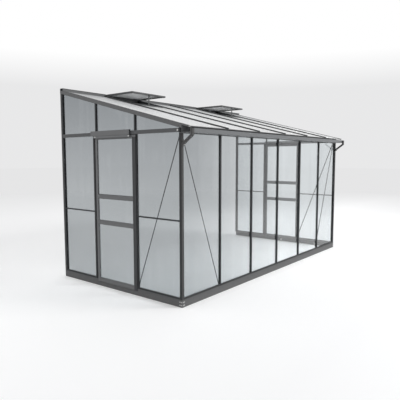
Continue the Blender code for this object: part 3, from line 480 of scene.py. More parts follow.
def corner_gussets():
    """A bright plate in each top corner, and a bolt at both ends of every brace."""
    plates = bmesh.new()
    bolts = bmesh.new()
    sheet = 0.0015
    head_bolt = 0.0040
    foot_bolt = 0.0034
    foot_in = 0.006
    head_in = 0.012
    foot_rise = 0.018
    for end, side in ENDS:
        low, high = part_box("brace_%s_end" % end)
        inner = low.x if side > 0 else high.x
        step = -side * sheet
        add_block(plates, (inner, low.y + 0.001, high.z - 0.040),
                  (inner + step, low.y + 0.032, high.z - 0.002), 0.0005)
        for y, z in ((low.y + 0.009, high.z - 0.030), (low.y + 0.023, high.z - 0.012)):
            add_bolt(bolts, (inner + step, y, z), (-side, 0, 0), head_bolt)
        add_bolt(bolts, (inner, high.y - foot_in, low.z + foot_rise), (-side, 0, 0), foot_bolt)
        low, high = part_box("brace_%s_front" % end)
        foot = high.x - foot_in if side < 0 else low.x + foot_in
        head = low.x + head_in if side < 0 else high.x - head_in
        add_bolt(bolts, (foot, high.y, low.z + foot_rise), (0, 1, 0), foot_bolt)
        add_bolt(bolts, (head, high.y, high.z - 0.020), (0, 1, 0), head_bolt)
    finish_piece("corner_gussets", plates, ZINC)
    finish_piece("brace_bolts", bolts, ZINC)


def brace_lips():
    """The lip turned up along each strip's lower edge, which keeps the thin strip straight."""
    bm = bmesh.new()
    lip = 0.008
    sheet = 0.0016
    margin = 0.004
    inset = 0.0004
    for end, side in ENDS:
        for wall, inward in (("end", Vector((-side, 0, 0))), ("front", Vector((0, 1, 0)))):
            node = NODES["brace_%s_%s" % (end, wall)]
            mesh = node.data
            places = [node.matrix_world @ vert.co for vert in mesh.vertices]
            level = max(place.dot(inward) for place in places) - 0.0005
            edges = [[places[index] for index in edge.vertices] for edge in mesh.edges]
            edges = [edge for edge in edges if min(place.dot(inward) for place in edge) > level]
            longest = sorted(edges, key=lambda edge: (edge[0] - edge[1]).length)[-2:]
            foot, head = min(longest, key=lambda edge: edge[0].z + edge[1].z)
            other = max(longest, key=lambda edge: edge[0].z + edge[1].z)[0]
            along = (head - foot).normalized()
            across = inward.cross(along)
            if across.dot(other - foot) < 0:
                foot, head = head, foot
                along = -along
                across = -across
            seat = Matrix((along, across, inward)).transposed().to_4x4()
            seat.translation = foot
            reach = (head - foot).length - margin
            add_block(bm, (margin, inset, 0.0), (reach, inset + sheet, lip), ARRIS, seat)
    finish_piece("brace_lips", bm, BRACE_COAT)


corner_gussets()
brace_lips()


# Eaves beam with its gutter, and the gutter's end straps
# One long aluminium extrusion lies on the front posts and bars, carries the roof bars and catches
# the rain. Bent flat straps, bolted to the corner posts, stay its ends.

BEAM_COAT = powder_coat("beam_coat", (0.130, 0.135, 0.140), 0.42)
STRAP_COAT = powder_coat("strap_coat", (0.040, 0.039, 0.040), 0.45)
finish_node("eaves_gutter", BEAM_COAT)
for end, side in ENDS:
    finish_node("gutter_bracket_" + end, STRAP_COAT)

GUTTER_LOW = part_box("eaves_gutter")[0]


def strap_bolts():
    """A bolt through each strap's foot into the corner post, and a nut inside the gutter's lip."""
    bm = bmesh.new()
    strap_foot = 0.022
    lip_skin = 0.0032
    radius = 0.0046
    for end, side in ENDS:
        low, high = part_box("gutter_bracket_" + end)
        x = (low.x + high.x) / 2
        add_bolt(bm, (x, high.y - strap_foot, low.z + 0.010), (0, -1, 0), radius, 0.0034)
        add_bolt(bm, (x, GUTTER_LOW.y + lip_skin, GUTTER_LOW.z + 0.018), (0, 1, 0), radius, 0.0038)
    finish_piece("strap_bolts", bm, ZINC)


def gutter_hangers():
    """Flat bars across the gutter, one over each front bar, which stop its lip from spreading."""
    bars = bmesh.new()
    rivets = bmesh.new()
    half = 0.010
    sheet = 0.002
    front = GUTTER_LOW.y + 0.0035
    back = FRONT_FACE - 0.006
    top = GUTTER_LOW.z + 0.037
    for index in BARS:
        low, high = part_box("front_bar_%d" % index)
        x = (low.x + high.x) / 2
        add_block(bars, (x - half, front, top - sheet), (x + half, back, top), 0.0005)
        add_screw(rivets, (x, GUTTER_LOW.y + 0.010, top), (0, 0, 1), 0.0026, 0.0010)
    finish_piece("gutter_hangers", bars, BEAM_COAT)
    finish_piece("gutter_rivets", rivets, ZINC)


strap_bolts()
gutter_hangers()


# Eaves rails, door headers and ridge
# Rectangular aluminium tubes, bolted across the end walls at eaves height. Each door header stands
# in front of its rail, and the ridge profile runs along the roof's top edge with a lip over the sheets.

RAIL_COAT = powder_coat("rail_coat", (0.070, 0.073, 0.076), 0.44)
HEADER_COAT = powder_coat("header_coat", (0.135, 0.137, 0.140), 0.44)
RIDGE_COAT = powder_coat("ridge_coat", (0.100, 0.102, 0.104), 0.44)
for end, side in ENDS:
    finish_node("eaves_rail_" + end, RAIL_COAT)
    finish_node("door_header_" + end, HEADER_COAT)
finish_node("ridge_bar", RIDGE_COAT)


def box_and_face(node, side):
    """A node's box, and the X of its side that faces out of the building."""
    low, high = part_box(node)
    return low, high, high.x if side > 0 else low.x


def header_fixings():
    """Black plates just inside each header's ends as painted shade of its hollow inside, a seal strip under
    it, and a bright bolt and screws along each rail.
    """
    bolts = bmesh.new()
    screws = bmesh.new()
    shade_plates = bmesh.new()
    seals = bmesh.new()
    hood_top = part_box("door_frame_near")[1].z
    seal_depth = 0.012
    seal_margin = 0.016
    wall = 0.0023
    shade_plate = 0.0020
    shade_plate_back = 0.0187
    bolt_in = 0.012
    screw_in = 0.262
    for end, side in ENDS:
        low, high, face = box_and_face("door_header_" + end, side)
        add_block(seals, (face - side * 0.0004, low.y + seal_margin, low.z - 0.0001),
                  (face - side * seal_depth, high.y - seal_margin, hood_top + 0.0014), 0.0006)
        # Painted shade: black plates just inside the header's ends stand in for the dark inside of the
        # hollow tube.
        for y, way in ((low.y, 1), (high.y, -1)):
            add_block(shade_plates, (face - side * wall, y + way * wall, low.z + wall),
                      (face - side * shade_plate_back, y + way * (wall + shade_plate), high.z - wall), ARRIS)
        low, high, face = box_and_face("eaves_rail_" + end, side)
        z = (low.z + high.z) / 2
        add_bolt(bolts, (face, low.y + bolt_in, z), (side, 0, 0), 0.0068, 0.0022)
        for y in (low.y + screw_in, high.y - screw_in, high.y - bolt_in):
            add_screw(screws, (face, y, z), (side, 0, 0), 0.0030, 0.0016)
    finish_piece("header_seals", seals, HEADER_COAT)
    finish_piece("rail_bolts", bolts, ZINC)
    finish_piece("rail_screws", screws, BAR_COAT)
    finish_piece("header_end_shade_plates", shade_plates, BAR_COAT)


RIDGE_LIP_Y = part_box("ridge_bar")[1].y - 0.053


def ridge_details():
    """A black strip along the ridge's front edge, and a screw over each bar."""
    strips = bmesh.new()
    screws = bmesh.new()
    thick = 0.0016
    deep = 0.0075
    end_margin = 0.001
    vent_margin = 0.004
    low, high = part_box("ridge_bar")
    top = high.z - 0.0004
    lip = RIDGE_LIP_Y - 0.0002
    edges = [low.x + end_margin]
    for number in (1, 2):
        vent_low, vent_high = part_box("vent_frame_%d" % number)
        edges += [vent_low.x - vent_margin, vent_high.x + vent_margin]
    edges.append(high.x - end_margin)
    for left, right in zip(edges[::2], edges[1::2]):
        add_block(strips, (left, lip - thick, top - deep), (right, lip, top), 0.0006)
    for index in BARS:
        bar_low, bar_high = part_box("roof_bar_%d" % index)
        add_screw(screws, ((bar_low.x + bar_high.x) / 2, lip, top - 0.018), (0, -1, 0))
    finish_piece("ridge_black_strip", strips, BAR_COAT)
    finish_piece("ridge_screws", screws, BAR_COAT)


header_fixings()
ridge_details()


# Roof bars, end bars and sheets
# Capped aluminium bars run from the ridge, where a screw holds each, over the eaves beam. Sheets of
# opal twin-wall polycarbonate slide in between them and are closed at their lower ends.

BAYS = range(1, 7)
END_BAR_COLOUR = (0.105, 0.106, 0.108)
END_BAR_COAT = powder_coat("end_bar_coat", END_BAR_COLOUR, 0.44)
for end, side in ENDS:
    finish_node("roof_end_bar_" + end, END_BAR_COAT)
for index in BARS:
    finish_node("roof_bar_%d" % index, BAR_COAT)

ROOF_PITCH = math.radians(14.32)
SHEET = 0.006
CAP_HEIGHT = 0.014
GAP = 0.0002
SHEET_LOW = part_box("roof_panel_1")[0]
EAVE_Y = SHEET_LOW.y
EAVE_Z = SHEET_LOW.z + SHEET * math.cos(ROOF_PITCH)


def on_roof(x, y):
    """A seat on the sheets' top face: X along the eaves, Y up the slope, Z out of the roof."""
    slope = Matrix.Rotation(ROOF_PITCH, 4, "X")
    return Matrix.Translation((x, y, EAVE_Z + (y - EAVE_Y) * math.tan(ROOF_PITCH))) @ slope


def bar_end_caps():
    """Black plastic caps pushed into the lower ends of the roof bars, each with a screw."""
    caps = bmesh.new()
    screws = bmesh.new()
    half = 0.0114
    thick = 0.0030
    foot = -0.0096
    for index in BARS:
        low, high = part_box("roof_bar_%d" % index)
        seat = on_roof((low.x + high.x) / 2, low.y + CAP_HEIGHT * math.sin(ROOF_PITCH))
        add_block(caps, (-half, -thick, foot), (half, -GAP, CAP_HEIGHT + 0.0003), 0.0009, seat)
        facing = seat.to_3x3() @ Vector((0, -1, 0))
        add_screw(screws, seat @ Vector((0, -thick, 0.0040)), facing, 0.0028, 0.0014)
    finish_piece("bar_end_caps", caps, BAR_COAT)
    finish_piece("bar_end_screws", screws, ZINC)


def sheet_end_closers():
    """Thin aluminium channels pressed over the sheets' lower ends, to keep insects out of the flutes."""
    bm = bmesh.new()
    skin = 0.0008
    lip = 0.011
    end_margin = 0.031
    bar_margin = 0.0085
    eased = 0.0002
    top = GAP + skin
    under = -SHEET - GAP - skin
    for bay in BAYS:
        low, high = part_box("roof_panel_%d" % bay)
        left = low.x + (end_margin if bay == BAYS[0] else bar_margin)
        right = high.x - (end_margin if bay == BAYS[-1] else bar_margin)
        seat = on_roof(0.0, low.y)
        add_block(bm, (left, -GAP - skin, under), (right, -GAP, top), eased, seat)
        add_block(bm, (left, -GAP, GAP), (right, lip, top), eased, seat)
        add_block(bm, (left, -GAP, under), (right, lip, under + skin), eased, seat)
    finish_piece("sheet_end_closers", bm, END_BAR_COAT)


def end_bar_screws():
    """Screws through each end bar's face into the door posts, the corner post and the wall post."""
    bm = bmesh.new()
    below_sheet = 0.024
    for end, side in ENDS:
        low, high, face = box_and_face("roof_end_bar_" + end, side)
        stops = [FRONT_FACE + 0.024, high.y - 0.040]
        for way in ("front", "wall"):
            post_low, post_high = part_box("door_post_%s_%s" % (end, way))
            stops.append((post_low.y + post_high.y) / 2)
        for y in stops:
            add_screw(bm, on_roof(face, y) @ Vector((0, 0, -below_sheet)), (side, 0, 0))
    finish_piece("end_bar_screws", bm, BAR_COAT)


def capping_coat_inner_shade(outer):
    """Black on its inner faces, as painted shade, but for the face that lies flush with the end bar and is
    coated like it.
    """
    # Painted shade: the capping's inner faces are black as if in shade; the outer face gets the end bar's
    # colour.
    material = powder_coat("capping_coat_inner_shade", BLACK_COLOUR, 0.42)
    recolour(material, past_end_plane(material.node_tree, outer - 0.0012), END_BAR_COLOUR)
    return material


def end_bar_cappings():
    """A capping screwed down over the outer edge of each end sheet, from the eaves to the ridge."""
    caps = bmesh.new()
    screws = bmesh.new()
    wide = 0.022
    high = 0.006
    end_margin = 0.06
    gaps = 4
    bar_low, bar_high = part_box("roof_end_bar_far")
    length = (RIDGE_LIP_Y - 0.002 - bar_low.y) / math.cos(ROOF_PITCH)
    for end, side in ENDS:
        seat = on_roof(side * bar_high.x, bar_low.y)
        add_block(caps, (0.0, 0.0, GAP), (-side * wide, length, high), 0.0010, seat)
        facing = seat.to_3x3() @ Vector((0, 0, 1))
        for step in range(gaps + 1):
            along = end_margin + step * (length - 2 * end_margin) / gaps
            add_screw(screws, seat @ Vector((-side * wide / 2, along, high)), facing, 0.0030, 0.0016)
    finish_piece("end_bar_cappings", caps, capping_coat_inner_shade(bar_high.x))
    finish_piece("end_bar_capping_screws", screws, BAR_COAT)


bar_end_caps()
sheet_end_closers()
end_bar_screws()
end_bar_cappings()


def opal_sheet():
    """Opal twin-wall polycarbonate: inner ribs show as fine lines, and painted shade greys it towards the
    ridge.
    """
    material, tree, shader = start_material("opal_sheet")
    place = object_place(tree)
    axes = split_axes(tree, place)
    rib_pitch = 0.0104
    turns = maths(tree, "FRACT", maths(tree, "DIVIDE", axes["X"], rib_pitch))
    rib = ramp(tree, maths(tree, "ABSOLUTE", maths(tree, "SUBTRACT", turns, 0.5)), 0.38, 0.46)
    clouds = ramp(tree, noise(tree, place, scale=3.0, detail=4.0, roughness=0.6), 0.3, 0.7)
    unshaded = blend_colours(tree, clouds, (0.87, 0.875, 0.875), (0.93, 0.93, 0.925))
    # Painted shade: the sheet's colour greys up the slope towards the ridge.
    ridge_painted_shade = ramp(tree, axes["Y"], -0.10, 1.0)
    plain = blend_colours(tree, ridge_painted_shade, unshaded, (0.49, 0.498, 0.505))
    ribbed = scaled(tree, plain, ramp(tree, rib, 0.0, 1.0, 1.0, 0.66))
    tree.links.new(ribbed, shader.inputs["Base Color"])
    tree.links.new(ramp(tree, clouds, 0.0, 1.0, 0.32, 0.42), shader.inputs["Roughness"])
    add_bump(tree, shader, rib, strength=0.4, distance=0.0003)
    shader.inputs["Transmission Weight"].default_value = 0.25
    shader.inputs["IOR"].default_value = 1.45
    return material


OPAL_SHEET = opal_sheet()
for index in BAYS:
    finish_node("roof_panel_%d" % index, OPAL_SHEET)


# Roof vents
# A light aluminium frame round an opal pane, keyed at its corners and hooked under the ridge cover.
# A stay with a row of peg holes stands on the sill and props it open.

VENT_COAT = powder_coat("vent_coat", (0.070, 0.072, 0.074), 0.44)
for number in (1, 2):
    finish_node("vent_frame_%d" % number, VENT_COAT)
    finish_node("vent_sill_%d" % number, VENT_COAT)
    finish_node("vent_pane_%d" % number, OPAL_SHEET)

SASH_RAIL = 0.022


def corner_keys(keys, pins, low, high):
    """L-shaped keys under the sash's corners, each with a pin near the end of either leg."""
    margin = 0.003
    leg = 0.048
    wide = 0.016
    under = low.z - GAP
    foot = under - 0.0016
    for x, step_x in ((low.x + margin, 1), (high.x - margin, -1)):
        for y, step_y in ((low.y + margin, 1), (high.y - margin, -1)):
            add_block(keys, (x, y, foot), (x + step_x * leg, y + step_y * wide, under), ARRIS)
            add_block(keys, (x, y, foot), (x + step_x * wide, y + step_y * leg, under), ARRIS)
            for far_x, far_y in ((0.038, 0.008), (0.008, 0.038)):
                add_screw(pins, (x + step_x * far_x, y + step_y * far_y, foot), (0, 0, -1), 0.0024, 0.0012)


def sash_seal(seal, low, high):
    """A rubber seal on the underside of the sash, along the inner edge of its four rails."""
    inner = SASH_RAIL - 0.005
    under = low.z - GAP
    for left, right, front, back in (
        (low.x + inner, high.x - inner, low.y + inner, low.y + SASH_RAIL),
        (low.x + inner, high.x - inner, high.y - SASH_RAIL, high.y - inner),
        (low.x + inner, low.x + SASH_RAIL, low.y + SASH_RAIL, high.y - SASH_RAIL),
        (high.x - SASH_RAIL, high.x - inner, low.y + SASH_RAIL, high.y - SASH_RAIL),
    ):
        add_block(seal, (left, front, under - 0.003), (right, back, under), 0.0008)


def stay_fittings(keys, pins, holes, middle, stay_y, under):
    """The stay's brackets at the sill and the sash, a pin through each, and the peg holes between."""
    half = 0.010
    plate = 0.002
    half_deep = 0.007
    tall = 0.018
    outer = half + GAP + plate
    foot = on_roof(middle, stay_y).to_translation().z + 0.0145
    for z_low, z_high in ((foot, foot + tall), (under - tall, under - 0.002)):
        for x in (middle - outer, middle + half + GAP):
            add_block(keys, (x, stay_y - half_deep, z_low), (x + plate, stay_y + half_deep, z_high), ARRIS)
        for way in (-1, 1):
            place = (middle + way * outer, stay_y, (z_low + z_high) / 2)
            add_screw(pins, place, (way, 0, 0), 0.0036, 0.0024)
    count = 4
    reach = under - tall - foot - tall
    for step in range(count):
        z = foot + tall + reach * (step + 0.5) / count
        for facing in (-1, 1):
            bmesh.ops.create_cone(
                holes, cap_ends=True, segments=16, radius1=0.0032, radius2=0.0032, depth=0.0002,
                matrix=Matrix.Translation((middle, stay_y + facing * 0.0026, z)) @ Matrix.Rotation(
                    math.pi / 2, 4, "X"))


def vent_fittings(number):
    """Everything that is fixed to one vent's sash and stay."""
    keys = bmesh.new()
    seal = bmesh.new()
    pins = bmesh.new()
    holes = bmesh.new()
    low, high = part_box("vent_frame_%d" % number)
    sill_low, sill_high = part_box("vent_sill_%d" % number)
    corner_keys(keys, pins, low, high)
    sash_seal(seal, low, high)
    stay_fittings(keys, pins, holes, (sill_low.x + sill_high.x) / 2, low.y + 0.013, low.z - GAP)
    finish_piece("vent_keys_%d" % number, keys, VENT_COAT)
    finish_piece("vent_seal_%d" % number, seal, BAR_COAT)
    finish_piece("vent_pins_%d" % number, pins, ZINC)
    finish_piece("vent_peg_holes_%d" % number, holes, BAR_COAT)


for number in (1, 2):
    vent_fittings(number)


# Glazing
# Sheets of toughened glass, laid on the outer face of the bars and posts. Black plastic trims are
# pressed over their edges and hold them there.

def clear_glass():
    """Toughened glass whose grey tint is painted shade, stronger at the near end and up under the roof, with
    vertical streaks in it that are painted reflections.
    """
    material, tree, shader = start_material("clear_glass")
    place = object_place(tree)
    axes = split_axes(tree, place)
    smear = ramp(tree, noise(tree, place, scale=2.2, detail=5.0, roughness=0.6), 0.35, 0.75)
    upright = tree.nodes.new("ShaderNodeVectorMath")
    upright.operation = "MULTIPLY"
    upright.inputs[1].default_value = (1.0, 1.0, 0.05)
    tree.links.new(place, upright.inputs[0])
    # Painted reflections: soft vertical streaks that vary the tint in upright bands.
    painted_reflection_streak = noise(tree, upright.outputs["Vector"], scale=11.0, detail=3.0, roughness=0.6)
    # Painted shade: the tint is strongest at the near end and clears along the building.
    painted_shade_fade = sway(tree, smear, amount=0.10, middle=ramp(tree, axes["X"], -1.75, 0.2))
    clear = ramp(tree, sway(tree, painted_reflection_streak, amount=0.22, middle=painted_shade_fade), 0.0, 1.0)
    # Painted shade: the tint darkens up under the roof.
    painted_shade_under_roof = ramp(tree, axes["Z"], 0.75, 2.20)
    tinted = blend_colours(tree, painted_shade_under_roof, (0.550, 0.580, 0.595), (0.280, 0.302, 0.318))
    colour = blend_colours(tree, clear, tinted, (0.900, 0.925, 0.935))
    tree.links.new(colour, shader.inputs["Base Color"])
    tree.links.new(ramp(tree, smear, 0.0, 1.0, 0.0, 0.03), shader.inputs["Roughness"])
    shader.inputs["Transmission Weight"].default_value = 1.0
    shader.inputs["IOR"].default_value = 1.5
    through = tree.nodes.new("ShaderNodeBsdfTransparent")
    through.inputs["Color"].default_value = (0.88, 0.89, 0.895, 1.0)
    ray = tree.nodes.new("ShaderNodeLightPath")
    choice = tree.nodes.new("ShaderNodeMixShader")
    tree.links.new(ray.outputs["Is Shadow Ray"], choice.inputs[0])
    tree.links.new(shader.outputs["BSDF"], choice.inputs[1])
    tree.links.new(through.outputs["BSDF"], choice.inputs[2])
    tree.links.new(choice.outputs["Shader"], tree.nodes["Material Output"].inputs["Surface"])
    return material


def matt_plastic(name, colour, roughness, clouds, dust, relief=0.0):
    """Plastic without a shine, with a fine grain where it has any relief."""
    material, tree, shader = start_material(name)
    grain = use_group(tree, COAT_GRAIN, {
        "Place": object_place(tree), "Colour": (*colour, 1.0), "Roughness": roughness,
        "Clouds": clouds, "Dust": dust})
    tree.links.new(grain.outputs["Colour"], shader.inputs["Base Color"])
    tree.links.new(grain.outputs["Roughness"], shader.inputs["Roughness"])
    if relief:
        add_bump(tree, shader, grain.outputs["Height"], strength=relief, distance=0.0002)
    return material


GLASS = clear_glass()
TRIM = matt_plastic("black_trim", (0.020, 0.022, 0.024), 0.55, clouds=0.2, dust=0.1, relief=0.3)
for sheet in ("front_glass", "end_glass_near", "end_glass_far", "door_glass_near", "door_glass_far"):
    finish_node(sheet, GLASS)
for trim in ("front_trim", "end_trim_near", "end_trim_far"):
    finish_node(trim, TRIM)


# Doors
# A leaf of flat, powder-coated aluminium rails and stiles round three panes, with a folded hood over
# its head. A long barrel down its wall-side edge turns on pins in the door post's knuckles.

LEAF_LOW, LEAF_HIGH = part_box("door_frame_near")
LEAF_HALF = 0.3215
LEAF_MIDDLE = LEAF_LOW.y + LEAF_HALF
LEAF_START = LEAF_MIDDLE - LEAF_HALF
LEAF_STOP = LEAF_MIDDLE + LEAF_HALF
LEAF_FACE = END_FACE + 0.001
LEAF_FOOT = 0.050
STILE_LOCK = 0.050
STILE_HINGE = 0.030
LOCK_EDGE = LEAF_START + STILE_LOCK
HINGE_EDGE = LEAF_STOP - STILE_HINGE
BOTTOM_RAIL = (LEAF_FOOT, LEAF_FOOT + 0.045)
KICK_RAIL = (0.707, 0.753)
LOCK_RAIL = (0.996, 1.042)
HEAD_RAIL = (LEAF_HIGH.z - 0.033, LEAF_HIGH.z)
COVERED_RAILS = (BOTTOM_RAIL, KICK_RAIL, LOCK_RAIL)


def door_coat():
    """The leaf's powder coat, with painted shade that darkens the lock stile below the hood; the hinge
    barrel on its wall side is black.
    """
    material = powder_coat("door_coat", (0.145, 0.148, 0.152), 0.44)
    tree = material.node_tree
    axes = split_axes(tree, object_place(tree))
    below_hood = ramp(tree, axes["Z"], LEAF_HIGH.z - 0.0210, LEAF_HIGH.z - 0.0204, 1.0, 0.0)
    # Painted shade: the lock stile is darkened below the hood.
    stile = ramp(tree, axes["Y"], LOCK_EDGE - 0.0004, LOCK_EDGE, 1.0, 0.0)
    recolour(material, maths(tree, "MULTIPLY", stile, below_hood), (0.034, 0.036, 0.038))
    barrel = ramp(tree, axes["Y"], LEAF_STOP, LEAF_STOP + 0.0004)
    recolour(material, barrel, (0.016, 0.017, 0.018))
    return material


DOOR_COAT = door_coat()
RAIL_COVER_COAT = powder_coat("rail_cover_coat", (0.125, 0.128, 0.131), 0.44)
BRISTLE = matt_plastic("brush_bristle", (0.012, 0.012, 0.013), 0.8, clouds=0.4, dust=0.5)
for end, side in ENDS:
    finish_node("door_frame_" + end, DOOR_COAT)


def rail_covers(end, side):
    """A flat cover on each of the leaf's three lower rails, lapped over the stiles."""
    bm = bmesh.new()
    face = side * LEAF_FACE
    over = 0.004
    edge = 0.001
    for low, high in COVERED_RAILS:
        add_block(bm, (face + side * 0.0002, LOCK_EDGE - over, low + edge),
                  (face + side * 0.0014, HINGE_EDGE + over, high - edge), 0.0005)
    finish_piece("door_rail_covers_" + end, bm, RAIL_COVER_COAT, "door_" + end)


def pane_gaskets(end, side):
    """A thin black gasket round each of the three panes, on the glass's outer face."""
    bm = bmesh.new()
    glass = side * LEAF_FACE - side * 0.0128
    front = glass + side * 0.0016
    bead = 0.003
    left = LOCK_EDGE + GAP
    right = HINGE_EDGE - GAP
    rails = (*COVERED_RAILS, HEAD_RAIL)
    for below, above in zip(rails, rails[1:]):
        low = below[1] + GAP
        high = above[0] - GAP
        for y_a, y_b, z_a, z_b in (
            (left, right, low, low + bead),
            (left, right, high - bead, high),
            (left, left + bead, low + bead, high - bead),
            (right - bead, right, low + bead, high - bead),
        ):
            add_block(bm, (glass, y_a, z_a), (front, y_b, z_b), 0.0005)
    finish_piece("door_gaskets_" + end, bm, TRIM, "door_" + end)


def leaf_screws(end, side):
    """Two screws at each joint of a covered rail with a stile."""
    bm = bmesh.new()
    for low, high in COVERED_RAILS:
        for y in (LOCK_EDGE - STILE_LOCK * 0.5, HINGE_EDGE + STILE_HINGE * 0.5):
            for share in (0.27, 0.73):
                place = (side * LEAF_FACE, y, low + (high - low) * share)
                add_screw(bm, place, (side, 0, 0), 0.0026, 0.0013)
    finish_piece("door_screws_" + end, bm, BAR_COAT, "door_" + end)


def foot_brush(end, side):
    """A brush in a narrow holder along the leaf's foot, as a row of tufts."""
    bm = bmesh.new()
    tufts = 96
    holder_margin = 0.004
    tuft_margin = 0.008
    half_share = 0.36
    face = side * LEAF_FACE
    add_block(bm, (face - side * 0.005, LEAF_START + holder_margin, LEAF_FOOT - 0.0012),
              (face - side * 0.011, LEAF_STOP - holder_margin, LEAF_FOOT - 0.0002), 0.0002)
    pitch = (LEAF_HALF - tuft_margin) * 2 / tufts
    for tuft in range(tufts):
        y = LEAF_START + tuft_margin + pitch * (tuft + 0.5)
        add_block(bm, (face - side * 0.0065, y - pitch * half_share, LEAF_FOOT - 0.0042),
                  (face - side * 0.0095, y + pitch * half_share, LEAF_FOOT - 0.0013))
    finish_piece("door_brush_" + end, bm, BRISTLE, "door_" + end)


def hinge_caps(end, side):
    """A small black cap on the top and the foot of the hinge barrel."""
    bm = bmesh.new()
    x = side * (END_FACE + 0.003)
    y = LEAF_MIDDLE + 0.334
    for z, way in ((LEAF_HIGH.z, 1), (0.080, -1)):
        turn = Matrix.Rotation(0.0 if way > 0 else math.pi, 4, "X")
        bmesh.ops.create_cone(
            bm, cap_ends=True, segments=20, radius1=0.0064, radius2=0.0048, depth=0.0016,
            matrix=Matrix.Translation((x, y, z + way * 0.0010)) @ turn)
    finish_piece("hinge_caps_" + end, bm, BAR_COAT, "door_" + end)


def hood_bolts(end, side):
    """Two flat bright bolts through the front of the hood, near its ends."""
    bm = bmesh.new()
    x = side * LEAF_FACE + side * 0.029
    for y in (LEAF_MIDDLE - 0.252, LEAF_MIDDLE + 0.288):
        add_bolt(bm, (x, y, LEAF_HIGH.z - 0.0096), (side, 0, 0), 0.0060, 0.0007)
    finish_piece("hood_bolts_" + end, bm, ZINC, "door_" + end)


for end, side in ENDS:
    rail_covers(end, side)
    pane_gaskets(end, side)
    leaf_screws(end, side)
    foot_brush(end, side)
    hinge_caps(end, side)
    hood_bolts(end, side)


# Studio
# A pale floor that runs back into a pale backdrop, soft light all round and one large lamp.
# The camera stands where the photo was taken from.

def studio_floor():
    """A wide pale floor with a painted glow that makes it look a little brighter towards the back, and that
    fades into the backdrop.
    """
    bm = bmesh.new()
    bmesh.ops.create_grid(bm, x_segments=1, y_segments=1, size=60.0)
    mesh = bpy.data.meshes.new("studio_floor")
    bm.to_mesh(mesh)
    bm.free()
    floor = bpy.data.objects.new("studio_floor", mesh)
    bpy.context.scene.collection.objects.link(floor)
    material, tree, shader = start_material("studio_floor")
    place = object_place(tree)
    axes = split_axes(tree, place)
    back = ramp(tree, axes["Y"], 1.0, 4.0)
    colour = blend_colours(tree, back, (0.93, 0.93, 0.93), (0.80, 0.80, 0.80))
    tree.links.new(colour, shader.inputs["Base Color"])
    shader.inputs["Roughness"].default_value = 0.9
    shader.inputs["Specular IOR Level"].default_value = 0.1
    # Painted light: a glow on the floor, seen by the camera and faintly through glass, that grows towards
    # the back.
    painted_glow = tree.nodes.new("ShaderNodeEmission")
    ray = tree.nodes.new("ShaderNodeLightPath")
    through_glass = maths(tree, "MULTIPLY", ray.outputs["Is Transmission Ray"], 0.2)
    seen = maths(tree, "MAXIMUM", ray.outputs["Is Camera Ray"], through_glass)
    dim = maths(tree, "MULTIPLY", ramp(tree, axes["Y"], -2.4, 1.0), 0.22)
    tree.links.new(maths(tree, "MULTIPLY", seen, dim), painted_glow.inputs["Strength"])
    lit = tree.nodes.new("ShaderNodeAddShader")
    tree.links.new(shader.outputs["BSDF"], lit.inputs[0])
    tree.links.new(painted_glow.outputs["Emission"], lit.inputs[1])
    far_off = tree.nodes.new("ShaderNodeEmission")
    far_off.inputs["Color"].default_value = (0.79, 0.79, 0.795, 1.0)
    length = tree.nodes.new("ShaderNodeVectorMath")
    length.operation = "LENGTH"
    tree.links.new(place, length.inputs[0])
    choice = tree.nodes.new("ShaderNodeMixShader")
    tree.links.new(ramp(tree, length.outputs["Value"], 6.0, 14.0), choice.inputs[0])
    tree.links.new(lit.outputs["Shader"], choice.inputs[1])
    tree.links.new(far_off.outputs["Emission"], choice.inputs[2])
    tree.links.new(choice.outputs["Shader"], tree.nodes["Material Output"].inputs["Surface"])
    mesh.materials.append(material)


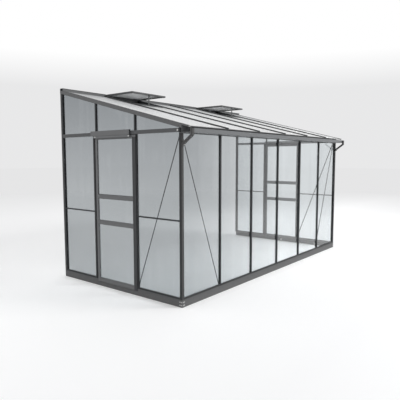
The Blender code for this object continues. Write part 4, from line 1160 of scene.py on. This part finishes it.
def studio_world():
    """Soft even light, and a backdrop, seen directly or through glass, that is paler higher up."""
    world = bpy.data.worlds.new("studio")
    bpy.context.scene.world = world
    world.use_nodes = True
    tree = world.node_tree
    soft = tree.nodes["Background"]
    soft.inputs["Color"].default_value = (0.985, 0.99, 1.0, 1.0)
    soft.inputs["Strength"].default_value = 0.78
    seen = tree.nodes.new("ShaderNodeBackground")
    direction = split_axes(tree, tree.nodes.new("ShaderNodeTexCoord").outputs["Generated"])
    above = ramp(tree, direction["Z"], 0.15, 0.22)
    tree.links.new(blend_colours(tree, above, (0.81, 0.81, 0.815), (1.0, 1.0, 1.0)), seen.inputs["Color"])
    seen.inputs["Strength"].default_value = 1.0
    ray = tree.nodes.new("ShaderNodeLightPath")
    shown = maths(tree, "MAXIMUM", ray.outputs["Is Camera Ray"], ray.outputs["Is Transmission Ray"])
    choice = tree.nodes.new("ShaderNodeMixShader")
    tree.links.new(shown, choice.inputs[0])
    tree.links.new(soft.outputs["Background"], choice.inputs[1])
    tree.links.new(seen.outputs["Background"], choice.inputs[2])
    tree.links.new(choice.outputs["Shader"], tree.nodes["World Output"].inputs["Surface"])


def studio_lamp(name, place, aim, size, watts):
    """A square lamp of some size that looks at a point."""
    lamp = bpy.data.lights.new(name, "AREA")
    lamp.shape = "SQUARE"
    lamp.size = size
    lamp.energy = watts
    holder = bpy.data.objects.new(name, lamp)
    holder.location = place
    holder.rotation_euler = (Vector(aim) - Vector(place)).to_track_quat("-Z", "Y").to_euler()
    bpy.context.scene.collection.objects.link(holder)


def photo_camera():
    """The camera solved from the photo: a short distance off the near front corner."""
    yaw = 0.8982
    pitch = -0.0937
    roll = -0.0015
    focal_pixels = 440.11
    picture_pixels = 400.0
    sensor = 36.0
    ahead = Vector((math.sin(yaw) * math.cos(pitch), math.cos(yaw) * math.cos(pitch), math.sin(pitch)))
    right = Vector((math.cos(yaw), -math.sin(yaw), 0.0))
    up = right.cross(ahead)
    tilted_right = right * math.cos(roll) + up * math.sin(roll)
    tilted_up = up * math.cos(roll) - right * math.sin(roll)
    camera = bpy.data.cameras.new("photo_camera")
    camera.sensor_width = sensor
    camera.lens = focal_pixels * sensor / picture_pixels
    holder = bpy.data.objects.new("photo_camera", camera)
    stand = Vector((-5.0, FRONT_FACE - 2.708, 1.435))
    turn = Matrix((tilted_right, tilted_up, -ahead)).transposed().to_4x4()
    holder.matrix_world = Matrix.Translation(stand) @ turn
    bpy.context.scene.collection.objects.link(holder)
    bpy.context.scene.camera = holder


studio_floor()
studio_world()
studio_lamp("key_lamp", place=(3.0, -7.0, 6.5), aim=(0.0, 0.0, 0.8), size=3.0, watts=420.0)
photo_camera()
bpy.context.scene.view_settings.view_transform = "Standard"
